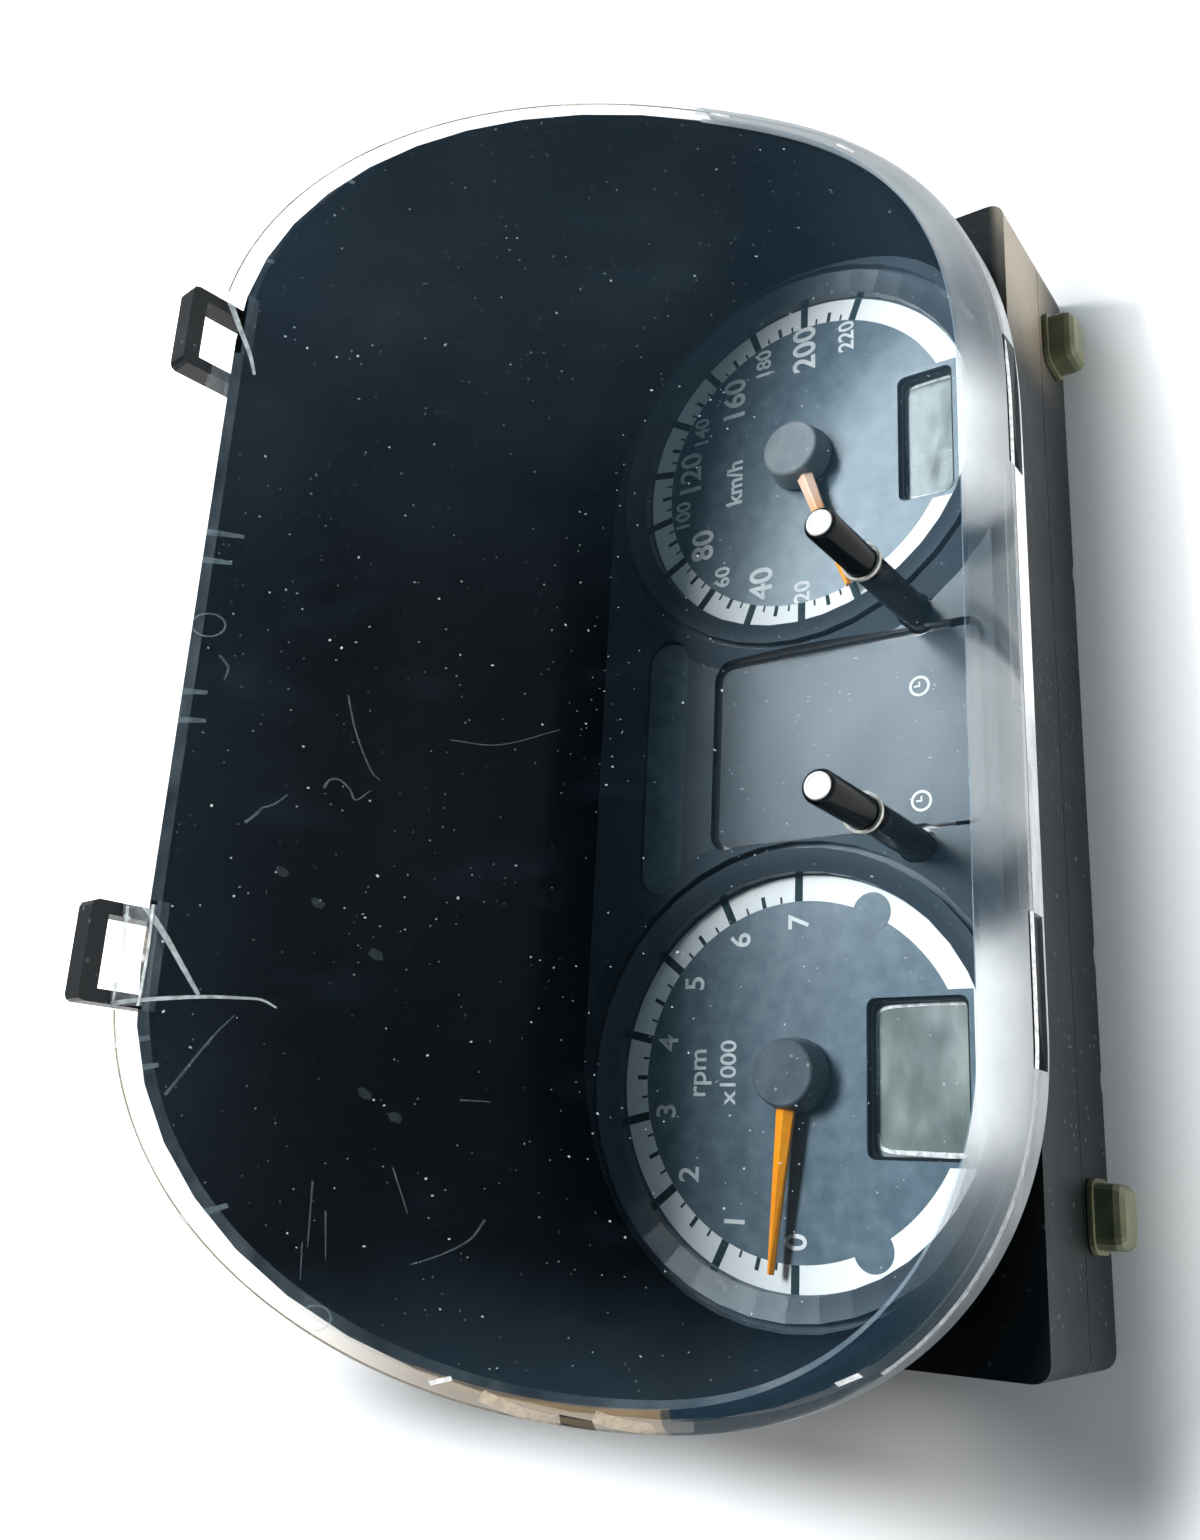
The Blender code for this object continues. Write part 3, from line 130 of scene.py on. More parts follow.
# Moulded plastics and printing: name, dark and light colour, range of roughness, scale of the grain,
# height of the grain, scale of the patches of wear, specular level and dust.
PLASTICS = {
    # the hood: a darker, less glossy copy of the black housing plastic, painted shade for the inside of the
    # hood
    "hood": ("hood_plastic", (0.0030, 0.0040, 0.0050), (0.0065, 0.0085, 0.0105),
             (0.45, 0.60), 900, 0.10, 9.0, 0.02),
    "mask": ("mask_plastic", (0.050, 0.072, 0.092), (0.074, 0.100, 0.124),
             (0.20, 0.28), 1500, 0.12, 14.0, 0.7),
    "dial": ("printed_dial", (0.088, 0.135, 0.169), (0.134, 0.193, 0.235),
             (0.20, 0.26), 2600, 0.15, 190.0, 0.8),
    "hub": ("hub_plastic", (0.055, 0.074, 0.090), (0.105, 0.134, 0.155),
            (0.38, 0.50), 2600, 0.25, 90.0, 0.5, 0.35),
    # a lighter copy of the hub plastic for the speedometer's hub: painted glare
    "pale_hub": ("pale_hub_plastic", (0.190, 0.225, 0.245), (0.290, 0.325, 0.345),
                 (0.38, 0.50), 2600, 0.25, 90.0, 0.5, 0.35),
    "stalk": ("stalk_plastic", (0.0025, 0.0035, 0.0040), (0.007, 0.009, 0.010),
              (0.16, 0.26), 900, 0.04, 14.0, 0.12),
    "white_print": ("white_print", (0.80, 0.86, 0.88), (0.88, 0.92, 0.93),
                    (0.50, 0.60), 2600, 0.15, 40.0, 0.3),
    "grey_print": ("grey_print", (0.62, 0.68, 0.71), (0.82, 0.87, 0.89), (0.50, 0.60), 2600, 0.15, 300.0),
    "tick": ("tick_print", (0.014, 0.036, 0.040), (0.034, 0.066, 0.072),
             (0.50, 0.60), 2600, 0.10, 200.0, 0.3),
    "cap": ("cap_plastic", (0.80, 0.84, 0.86), (0.96, 0.97, 0.97), (0.30, 0.50), 1800, 0.30, 420.0),
    "orange": ("orange_plastic", (0.97, 0.32, 0.006), (1.0, 0.40, 0.012), (0.28, 0.40), 900, 0.05, 200.0),
    # the speedometer's pointer: this orange, with painted glare laid on it towards its hub
    "bleached": ("bleached_orange", (0.86, 0.31, 0.012), (0.95, 0.38, 0.02),
                 (0.28, 0.40), 900, 0.05, 200.0),
    "white": ("white_plastic", (0.70, 0.72, 0.72), (0.82, 0.83, 0.82), (0.45, 0.60)),
    "board": ("green_board", (0.010, 0.085, 0.035), (0.018, 0.125, 0.050), (0.30, 0.45), 700, 0.10, 60.0),
    "chip": ("chip_epoxy", (0.010, 0.010, 0.011), (0.022, 0.022, 0.024), (0.50, 0.65), 2500, 0.20, 200.0),
    "groove": ("groove_shade", (0.006, 0.011, 0.015), (0.012, 0.020, 0.026),
               (0.50, 0.60), 1500, 0.10, 60.0, 0.1),
}

# Marks in or on the clear plastic: name, colour and opacity.
FROSTED = {
    "mark": ("clear_mark", (0.85, 0.90, 0.90), 0.75),
    "dust": ("lens_dust", (0.72, 0.82, 0.86), 0.62),
    "scratch": ("lens_scratch", (0.50, 0.62, 0.68), 0.13),
    "crack": ("lens_crack", (0.62, 0.68, 0.70), 0.60),
    "smudge": ("lens_smudge", (0.42, 0.55, 0.62), 0.05),
    "ghost": ("lens_ghost", (0.42, 0.55, 0.62), 0.20),
    # painted light at the edge of the lens's hole round each stalk
    "collar": ("hole_rim", (0.62, 0.60, 0.54), 0.85),
    "cream": ("cream_tab", (0.88, 0.74, 0.56), 0.42),
    "clear": ("clear_bridge", (0.80, 0.84, 0.85), 0.22),
    # painted reflections on the displays
    "film": ("display_glare_glint", (0.92, 0.97, 0.98), 0.80),
    "glint": ("clear_glint", (1.0, 1.0, 1.0), 0.9),
}


def material(name):
    made = bpy.data.materials.new(name)
    made.use_nodes = True
    return made, made.node_tree


def fill(tree, socket, value):
    """Set a socket, or link it if the value is another node's output."""
    if hasattr(value, "is_output"):
        tree.links.new(value, socket)
    elif hasattr(value, "__len__") and len(value) < len(socket.default_value):
        socket.default_value = (*value, 1)
    else:
        socket.default_value = value


def node(tree, kind, **sockets):
    """A new shader node with some sockets filled; an underscore stands for a blank in their names."""
    made = tree.nodes.new("ShaderNode" + kind)
    for name, value in sockets.items():
        fill(tree, made.inputs[name.replace("_", " ")], value)
    return made


def feed(tree, **sockets):
    """Fill sockets of the material's shader, named in the same way."""
    for name, value in sockets.items():
        fill(tree, tree.nodes["Principled BSDF"].inputs[name.replace("_", " ")], value)


def object_noise(tree, scale, detail=4.0, roughness=0.55, stretch=None):
    """Noise in object coordinates, which all lie in the world frame."""
    source = node(tree, "TexCoord").outputs["Object"]
    if stretch:
        source = node(tree, "Mapping", Vector=source, Scale=stretch).outputs["Vector"]
    noise = node(tree, "TexNoise", Vector=source, Scale=scale, Detail=detail, Roughness=roughness)
    return noise.outputs["Fac"]


def ramp(tree, factor, stops):
    """Colours or greys at places along a factor."""
    made = node(tree, "ValToRGB", Fac=factor)
    elements = made.color_ramp.elements
    while len(elements) < len(stops):
        elements.new(0.5)
    for element, (place, colour) in zip(elements, stops):
        element.position = place
        element.color = (*colour, 1) if hasattr(colour, "__len__") else (colour, colour, colour, 1)
    return made.outputs["Color"]


def mix(tree, factor, first, second, kind="MIX"):
    made = node(tree, "Mix")
    made.data_type = "RGBA"
    made.blend_type = kind
    for socket, value in ((made.inputs[0], factor), (made.inputs[6], first), (made.inputs[7], second)):
        fill(tree, socket, value)
    return made.outputs[2]


def maths(tree, kind, first, second=None, third=None):
    made = node(tree, "Math")
    made.operation = kind
    for socket, value in zip(made.inputs, (first, second, third)):
        if value is not None:
            fill(tree, socket, value)
    return made.outputs[0]


def times(tree, first, second):
    return maths(tree, "MULTIPLY", first, second)


def times_plus(tree, first, second, third):
    """The first two multiplied, and the third added."""
    return maths(tree, "MULTIPLY_ADD", first, second, third)


def places(tree, axes):
    """Design coordinates of the shaded point, in metres."""
    split = node(tree, "SeparateXYZ", Vector=node(tree, "TexCoord").outputs["Object"])
    return [maths(tree, "SUBTRACT", split.outputs[axis], ORIGIN["XYZ".index(axis)]) for axis in axes]


def fade(tree, value, low, high, kind="SMOOTHSTEP"):
    """0 where the value is at low, 1 where it is at high."""
    made = node(tree, "MapRange", Value=value, From_Min=low, From_Max=high)
    made.interpolation_type = kind
    return made.outputs["Result"]


def add_bump(tree, height, strength, distance):
    bump = node(tree, "Bump", Height=height, Strength=strength, Distance=distance)
    feed(tree, Normal=bump.outputs["Normal"])


def dust_mask(tree):
    """Scattered specks: 1 on a speck, 0 between them."""
    where = node(tree, "TexCoord").outputs["Object"]
    cells = node(tree, "TexVoronoi", Vector=where, Scale=SPECK_DENSITY)
    near = maths(tree, "LESS_THAN", cells.outputs["Distance"], SPECK_SIZE)
    split = node(tree, "SeparateColor", Color=cells.outputs["Color"])
    return times(tree, near, maths(tree, "GREATER_THAN", split.outputs[0], SPECK_BARE))


def plastic(name, dark, light, rough=(0.4, 0.55), grain=900.0, bump=0.12, patches=14.0,
            specular=0.5, dust=0.0):
    """Moulded plastic: patches of wear, a fine grain and a little dust."""
    made, tree = material(name)
    wear = object_noise(tree, patches)
    colour = ramp(tree, wear, ((0.35, dark), (0.68, light)))
    if dust:
        colour = mix(tree, times(tree, dust_mask(tree), dust), colour, (0.5, 0.5, 0.48))
    feed(tree, Base_Color=colour,
         Roughness=ramp(tree, object_noise(tree, patches * 3), ((0.3, rough[0]), (0.7, rough[1]))),
         Specular_IOR_Level=specular)
    add_bump(tree, object_noise(tree, grain, 2.0), bump, 0.0002)
    return made


def make_finishes():
    """All the materials by their short names."""
    finishes = {key: plastic(*row) for key, row in PLASTICS.items()}
    finishes.update({key: frosted(*row) for key, row in FROSTED.items()})
    # painted shade on the mask round the dials
    shade_round_dials(finishes["mask"])
    # painted glare on the speedometer's pointer
    pale_root(finishes["bleached"])
    finishes.update({
        "black": housing_plastic(), "steel": zinc_steel(), "nylon": olive_nylon(), "glass": display_glass(),
        "pane": clear_pane(), "band": clear_band(), "rim": clear_rim(), "round": clear_round(),
        "skirt": clear_skirt(), "edge": clear_edge(),
    })
    return finishes


def from_dial(tree):
    """Distance from the middle of the nearer dial."""
    x, up = places(tree, "XY")
    across = maths(tree, "SUBTRACT", maths(tree, "ABSOLUTE", x), SPACING)
    return maths(tree, "SQRT", times_plus(tree, across, across, times(tree, up, up)))


def tint_base(made, share, colour):
    """Lay a colour over a finish, as far as a share worked out from its nodes."""
    tree = made.node_tree
    socket = tree.nodes["Principled BSDF"].inputs["Base Color"]
    tree.links.new(mix(tree, share, socket.links[0].from_socket, colour), socket)


def shade_round_dials(made):
    """Painted shade on the dial mask round each dial, where its bezels fall away."""
    tree = made.node_tree
    shade = fade(tree, from_dial(tree), 1.17 * RING, 1.03 * RING)
    tint_base(made, times(tree, shade, 0.55), (0.012, 0.022, 0.030))


def pale_root(made):
    """Painted glare: the speedometer's pointer is painted paler towards its hub."""
    tree = made.node_tree
    pale = fade(tree, from_dial(tree), 0.024, 0.012)
    tint_base(made, times(tree, pale, 0.60), (0.95, 0.86, 0.82))


def housing_plastic():
    """Black moulding with a little dust; a tan patch of painted sunlight at one end of the wall under the
    dials.
    """
    made, tree = material("black_plastic")
    wear = object_noise(tree, 14.0)
    colour = ramp(tree, wear, ((0.35, (0.0045, 0.0060, 0.0072)), (0.68, (0.0090, 0.0112, 0.0130))))
    colour = mix(tree, times(tree, dust_mask(tree), 0.12), colour, (0.4, 0.42, 0.42))
    x, y, z = places(tree, "XYZ")
    sunlit_patch = 0.85
    for place, reach in zip((times_plus(tree, wear, 0.020, x), y, z), SUNLIT_PATCH_REACH):
        sunlit_patch = times(tree, fade(tree, place, *reach), sunlit_patch)
    # the tan patch is painted sunlight
    colour = mix(tree, sunlit_patch, colour, (0.34, 0.285, 0.21))
    feed(tree, Base_Color=colour,
         Roughness=ramp(tree, object_noise(tree, 42.0), ((0.3, 0.36), (0.7, 0.52))),
         Specular_IOR_Level=0.22)
    add_bump(tree, object_noise(tree, 900.0, 2.0), 0.1, 0.0002)
    return made


def zinc_steel():
    made, tree = material("zinc_steel")
    spangle = object_noise(tree, 260.0)
    feed(tree, Base_Color=ramp(tree, spangle, ((0.3, (0.42, 0.42, 0.40)), (0.7, (0.62, 0.61, 0.57)))),
         Roughness=ramp(tree, spangle, ((0.3, 0.28), (0.7, 0.45))), Metallic=1.0)
    add_bump(tree, object_noise(tree, 900.0, 2.0), 0.1, 0.0001)
    return made


def olive_nylon():
    made, tree = material("olive_nylon")
    cloud = object_noise(tree, 90.0)
    feed(tree, Base_Color=ramp(tree, cloud, ((0.3, (0.075, 0.085, 0.045)), (0.7, (0.15, 0.155, 0.085)))),
         Roughness=ramp(tree, cloud, ((0.3, 0.32), (0.7, 0.48))), Subsurface_Weight=0.35,
         Subsurface_Scale=0.004, Subsurface_Radius=(0.8, 0.9, 0.5))
    add_bump(tree, object_noise(tree, 500.0, 3.0), 0.15, 0.0003)
    return made


def display_glass():
    """Grey-green display, clouded like old polariser."""
    made, tree = material("display_glass")
    swirl = object_noise(tree, 42.0, 3.0, 0.5, (1.0, 1.7, 1.0))
    colour = ramp(tree, swirl, ((0.28, (0.060, 0.080, 0.074)), (0.48, (0.150, 0.190, 0.180)),
                                (0.72, (0.33, 0.39, 0.38))))
    feed(tree, Base_Color=colour, Roughness=ramp(tree, swirl, ((0.3, 0.16), (0.7, 0.30))),
         Specular_IOR_Level=0.9)
    add_bump(tree, object_noise(tree, 60.0, 2.0), 0.35, 0.002)
    return made


def clear_pane():
    """The flat of the lens: clear, with a bluish veil that grows towards its ends and lower edge."""
    made, tree = material("clear_pane")
    x, y = places(tree, "XY")
    cloud = object_noise(tree, 24.0, 6.0, 0.62)
    drift = times_plus(tree, cloud, 0.030, x)
    veil = 0.0018
    for place, low, high, more in ((drift, 0.010, 0.110, 0.0115), (drift, -0.100, -0.128, 0.018),
                                   (y, 0.050, 0.076, 0.005), (y, 0.000, -0.050, 0.014)):
        veil = times_plus(tree, fade(tree, place, low, high), more, veil)
    wipe = object_noise(tree, 60.0, 5.0, 0.6, (1.0, 0.5, 0.5))
    veil = times(tree, veil, ramp(tree, cloud, ((0.30, 0.72), (0.70, 1.0))))
    veil = maths(tree, "ADD", veil, ramp(tree, wipe, ((0.56, 0.0), (0.80, 0.006))))
    feed(tree, Alpha=veil,
         Base_Color=ramp(tree, cloud, ((0.3, (0.32, 0.62, 0.95)), (0.7, (0.42, 0.68, 0.88)))),
         Roughness=0.40, Specular_IOR_Level=0.1)
    return made


def clear_band():
    """The lens's flat margin, welded to the hood behind it: a little milkier than the pane."""
    made, tree = material("clear_band")
    [y] = places(tree, "Y")
    streak = object_noise(tree, 110.0, 5.0, 0.6, (0.6, 1.0, 1.0))
    low = fade(tree, y, 0.020, -0.045)
    haze = ramp(tree, streak, ((0.35, 0.03), (0.72, 0.10)))
    feed(tree, Alpha=times_plus(tree, low, 0.28, haze),
         Base_Color=ramp(tree, streak, ((0.3, (0.34, 0.52, 0.68)), (0.7, (0.60, 0.72, 0.80)))),
         Roughness=0.35, Specular_IOR_Level=0.2)
    return made


def clear_rim():
    """The rounded upper edge: see-through, clean at the right-hand end and yellowed at the left."""
    made, tree = material("clear_rim")
    [x] = places(tree, "X")
    cloud = object_noise(tree, 55.0, 4.0, 0.6)
    aged = fade(tree, times_plus(tree, cloud, 0.05, x), 0.085, -0.030)
    feed(tree, Base_Color=mix(tree, aged, (0.90, 0.92, 0.92), (0.86, 0.62, 0.36)))
    alpha = times_plus(tree, aged, 0.12, 0.04)
    feed(tree, Alpha=maths(tree, "ADD", alpha, ramp(tree, cloud, ((0.45, 0.0), (0.75, 0.06)))),
         Roughness=0.22)
    return made


def clear_round():
    """The rounded lower edge: painted light glows in it below each dial, with dark wedges of painted shade
    between the glows.
    """
    made, tree = material("clear_round")
    cloud = object_noise(tree, 45.0, 4.0, 0.6)
    x, y, z = places(tree, "XYZ")
    x = maths(tree, "SUBTRACT", times_plus(tree, cloud, 2 * WOBBLE, x), WOBBLE)
    plane = times_plus(tree, y, LENS_SLOPE, LENS_HEIGHT)
    drop = maths(tree, "SUBTRACT", plane, z)
    out = fade(tree, drop, 0.0, EDGE_ROUND_BOTTOM, "LINEAR")

    def near(middle, lean, reach, core):
        """1 on a line across the round, falling to 0 at its reach."""
        line = times_plus(tree, out, lean, middle)
        away = maths(tree, "ABSOLUTE", maths(tree, "SUBTRACT", x, line))
        return fade(tree, away, reach, core)

    painted_glow = maths(tree, "MAXIMUM", *[near(middle, 0.0, reach, core) for middle, reach, core in PAINTED_GLOWS])
    light = times(tree, painted_glow, times_plus(tree, out, -0.80, 1.0))
    light = times_plus(tree, light, 0.66, 0.26)
    # more painted light towards the right-hand end and near the middle, painted shade towards the left-hand
    # end
    light = times_plus(tree, fade(tree, x, 0.095, 0.125), 0.25, light)
    light = times_plus(tree, near(-0.008, 0.0, 0.030, 0.012), 0.22, light)
    for middle, lean, reach in PAINTED_SHADE_WEDGES:
        painted_wedge = times(tree, near(middle, lean, reach, 0.002), times_plus(tree, out, -0.45, 0.86))
        light = times(tree, light, maths(tree, "SUBTRACT", 1.0, painted_wedge))
    light = times(tree, light, fade(tree, x, -0.128, -0.092))
    light = times(tree, light, ramp(tree, cloud, ((0.3, 0.88), (0.7, 1.0))))
    feed(tree, Base_Color=mix(tree, light, (0.02, 0.05, 0.075), (0.97, 0.99, 1.0)),
         Alpha=times_plus(tree, light, 0.55, 0.40),
         Roughness=ramp(tree, cloud, ((0.3, 0.34), (0.7, 0.44))), Specular_IOR_Level=0.15)
    return made


def clear_skirt():
    """The lens's lower edge, seen edge on: a strip of painted light, milky and mottled round the corners.
    """
    made, tree = material("clear_skirt")
    [x] = places(tree, "X")
    cloud = object_noise(tree, 130.0, 5.0, 0.6, (0.5, 1.0, 1.6))
    bright = ramp(tree, fade(tree, x, -LENS_END, LENS_END, "LINEAR"), PAINTED_EDGE_LIGHT)
    mottle = ramp(tree, cloud, ((0.34, 0.62), (0.60, 1.0)))
    mottle = mix(tree, fade(tree, bright, 0.72, 0.96), mottle, (1.0, 1.0, 1.0))
    light = times(tree, bright, mottle)
    feed(tree, Base_Color=mix(tree, light, (0.03, 0.045, 0.055), (0.98, 0.995, 1.0)),
         Alpha=times_plus(tree, bright, 0.30, 0.68), Roughness=0.3, Specular_IOR_Level=0.2)
    return made


def clear_edge():
    """The thin outer line of the lens, where the plastic is seen edge on."""
    made, tree = material("clear_edge")
    cloud = object_noise(tree, 120.0, 4.0)
    feed(tree, Base_Color=ramp(tree, cloud, ((0.3, (0.07, 0.08, 0.085)), (0.7, (0.20, 0.20, 0.19)))),
         Alpha=ramp(tree, cloud, ((0.3, 0.45), (0.7, 0.85))), Roughness=0.2)
    return made


def frosted(name, colour, alpha):
    """A whitish mark in or on the clear plastic."""
    made, tree = material(name)
    cloud = object_noise(tree, 700.0, 4.0)
    darker = tuple(0.75 * value for value in colour)
    feed(tree, Base_Color=ramp(tree, cloud, ((0.3, darker), (0.65, colour))),
         Alpha=ramp(tree, cloud, ((0.25, alpha * 0.6), (0.7, min(1.0, alpha * 1.2)))), Roughness=0.35)
    return made


# ---- mesh helpers
def placed(name, data):
    """An object of the data, in the scene."""
    made = bpy.data.objects.new(name, data)
    bpy.context.scene.collection.objects.link(made)
    return made


def mesh_of(name, verts, faces):
    mesh = bpy.data.meshes.new(name)
    mesh.from_pydata([tuple(v) for v in verts], [], faces)
    return mesh


def evaluated(made):
    """The mesh of an object after its modifiers."""
    bpy.context.view_layer.update()
    graph = bpy.context.evaluated_depsgraph_get()
    return bpy.data.meshes.new_from_object(made.evaluated_get(graph))


def piece(name, verts, faces, finish, body="cluster", slot=None, stands_for=(), sharp=35):
    """Make one piece from world points."""
    dress(name, mesh_of(name, verts, faces), finish, body, stands_for, sharp)


def on_lens(name, shapes, finish):
    """Make one piece of marks or trim on the clear lens."""
    piece(name, *merge(*shapes), finish, slot="clear_plastic")


def dress(name, mesh, finish, body="cluster", stands_for=(), sharp=35):
    """Make one piece from a mesh; a list of finishes goes with the mesh's own numbers."""
    mesh.validate()
    mesh.shade_smooth()
    mesh.set_sharp_from_angle(angle=math.radians(sharp))
    for one in (finish if isinstance(finish, (list, tuple)) else [finish]):
        mesh.materials.append(one)
    made = placed(name, mesh)
    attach(made, body)
    if stands_for:
        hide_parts(*stands_for)


def loft(loops, closed=True, caps=(True, True)):
    """Skin the loops in order; all have as many points."""
    count = len(loops[0])
    verts = [Vector(point) for loop in loops for point in loop]
    span = count if closed else count - 1
    faces = []
    for k in range(len(loops) - 1):
        for i in range(span):
            j = (i + 1) % count
            faces.append((k * count + i, k * count + j, (k + 1) * count + j, (k + 1) * count + i))
    if caps[0]:
        faces.append(tuple(reversed(range(count))))
    if caps[1]:
        faces.append(tuple(range((len(loops) - 1) * count, len(loops) * count)))
    return verts, faces


def merge(*shapes):
    verts, faces = [], []
    for more_verts, more_faces in shapes:
        start = len(verts)
        verts += more_verts
        faces += [tuple(start + i for i in face) for face in more_faces]
    return verts, faces


def turned(profile, cx, cy, steps=96, caps=(True, True)):
    """Spin (radius, height) pairs round a vertical axis; heights are from the dial faces."""
    loops = []
    for radius, height in profile:
        loops.append([at(cx + radius * math.cos(2 * math.pi * k / steps),
                         cy + radius * math.sin(2 * math.pi * k / steps), height) for k in range(steps)])
    return loft(loops, caps=caps)


def slab(outline, low, high):
    """A flat plate over an anticlockwise outline in design coordinates."""
    return loft([[at(x, y, low) for x, y in outline], [at(x, y, high) for x, y in outline]])


def arc_band(cx, cy, inner, outer, start, end, low, high, steps=48):
    """A slab between two radii and two angles in degrees."""
    angles = [math.radians(start + (end - start) * k / steps) for k in range(steps + 1)]
    out = [(cx + outer * math.cos(a), cy + outer * math.sin(a)) for a in angles]
    back = [(cx + inner * math.cos(a), cy + inner * math.sin(a)) for a in reversed(angles)]
    verts, faces = slab(out + back, low, high)
    count = len(out) + len(back)
    quads = [face for face in faces if len(face) == 4]
    for i in range(steps):
        j = count - 1 - i
        quads.append((count + i, count + i + 1, count + j - 1, count + j))
        quads.append((i + 1, i, j, j - 1))
    return verts, quads


def bar(cx, cy, angle, inner, outer, width, low, high):
    """A straight mark along a radius."""
    along = Vector((math.cos(math.radians(angle)), math.sin(math.radians(angle))))
    across = Vector((-along.y, along.x)) * width / 2
    centre = Vector((cx, cy))
    corners = [centre + along * inner + across, centre + along * inner - across,
               centre + along * outer - across, centre + along * outer + across]
    return slab([tuple(corner) for corner in corners], low, high)


def cut_mesh(verts, faces, tools):
    """A mesh with simple tools cut away, as a new mesh."""
    base = placed("work", mesh_of("work", verts, faces))
    made = [base]
    for tool_verts, tool_faces in tools:
        tool = placed("tool", mesh_of("tool", tool_verts, tool_faces))
        made.append(tool)
        modifier = base.modifiers.new("cut", "BOOLEAN")
        modifier.operation = "DIFFERENCE"
        modifier.object = tool
        modifier.solver = "EXACT"
    result = evaluated(base)
    for one in made:
        bpy.data.objects.remove(one)
    return result


def words(text, size, place, grow=0.0):
    """Lettering as a thin mesh, its middle at a design place; size is the height of a digit."""
    curve = bpy.data.curves.new("words", "FONT")
    curve.body = text
    curve.size = size / DIGIT_SHARE
    curve.align_x = "CENTER"
    curve.align_y = "CENTER"
    curve.extrude = PRINT / 2
    curve.offset = grow
    curve.resolution_u = 6
    holder = placed("words", curve)
    mesh = evaluated(holder)
    verts = [v.co.copy() for v in mesh.vertices]
    low = Vector([min(v[i] for v in verts) for i in range(3)])
    high = Vector([max(v[i] for v in verts) for i in range(3)])
    middle = (low + high) / 2
    shift = at(*place) - middle
    shift.z = ORIGIN.z + place[2] - low.z
    faces = [tuple(polygon.vertices) for polygon in mesh.polygons]
    bpy.data.objects.remove(holder)
    return [v + shift for v in verts], faces


# ---- lens outline
def corner_point(share, exponent, height):
    angle = share * math.pi / 2
    x = abs(math.cos(angle)) ** (2 / exponent) if share < 1 else 0.0
    y = abs(math.sin(angle)) ** (2 / exponent)
    return LENS_ARC_X + (LENS_HALF_WIDTH - LENS_ARC_X) * x, height * y


def lens_outline():
    shares = [k / CORNER_STEPS for k in range(CORNER_STEPS + 1)]
    upper = [corner_point(share, CORNER_UPPER, LENS_TOP) for share in shares]
    right = [corner_point(share, CORNER_LOWER_RIGHT, LENS_BOTTOM) for share in shares]
    left = [corner_point(share, CORNER_LOWER_LEFT, LENS_BOTTOM) for share in shares]
    points = upper + [(-x, y) for x, y in reversed(upper)]
    points += [(-x, -y) for x, y in left[1:]]
    points += [(x, -y) for x, y in reversed(right[1:])]
    return points


OUTLINE = lens_outline()


def inset(outline, amounts):
    """Move each point of an anticlockwise outline inwards by its own amount."""
    count = len(outline)
    if not hasattr(amounts, "__len__"):
        amounts = [amounts] * count
    moved = []
    for i, (x, y) in enumerate(outline):
        before = Vector(outline[i - 1])
        after = Vector(outline[(i + 1) % count])
        here = Vector((x, y))
        one = (here - before).normalized()
        two = (after - here).normalized()
        normal = Vector((-(one.y + two.y), one.x + two.x)).normalized()
        moved.append(tuple(here + normal * amounts[i]))
    return moved


def lens_plane(y):
    """Height of the lens's flat front."""
    return LENS_HEIGHT + LENS_SLOPE * y


def way_down(y):
    """0 at the lens's top, 1 at its bottom."""
    return min(1.0, max(0.0, (LENS_TOP - y) / (LENS_TOP + LENS_BOTTOM)))


def edge_round(y):
    return EDGE_ROUND_TOP + (EDGE_ROUND_BOTTOM - EDGE_ROUND_TOP) * way_down(y) ** 2


def skirt_end(y):
    return lens_plane(y) - edge_round(y) - SKIRT_DEPTH


def band_width(y):
    return BAND_TOP + (BAND_BOTTOM - BAND_TOP) * way_down(y)


def pane_outline(more):
    """The outline of the clear pane, moved inwards by a little more."""
    return inset(OUTLINE, [edge_round(y) + band_width(y) + more for _, y in OUTLINE])


def lens_loops(depth_in, wall_z, band=False):
    """Loops of one lens face from the skirt's end up round the edge to the flat front."""
    radii = [max(edge_round(y) - depth_in, ROUND_LEAST) for _, y in OUTLINE]
    start = inset(OUTLINE, depth_in)
    loops = [[at(x, y, skirt_end(source[1])) for (x, y), source in zip(start, OUTLINE)]]
    for degrees in range(0, 91, 10):
        angle = math.radians(degrees)
        amounts = [depth_in + radius * (1 - math.cos(angle)) for radius in radii]
        ring = inset(OUTLINE, amounts)
        loops.append([at(x, y, lens_plane(y) - wall_z - radius * (1 - math.sin(angle)))
                      for (x, y), radius in zip(ring, radii)])
    if band:
        loops.append([at(x, y, lens_plane(y)) for x, y in pane_outline(0.0)])
    return loops


def box_tool(x_range, y_range, z_range):
    (x0, x1), (y0, y1) = x_range, y_range
    return slab([(x0, y0), (x1, y0), (x1, y1), (x0, y1)], *z_range)


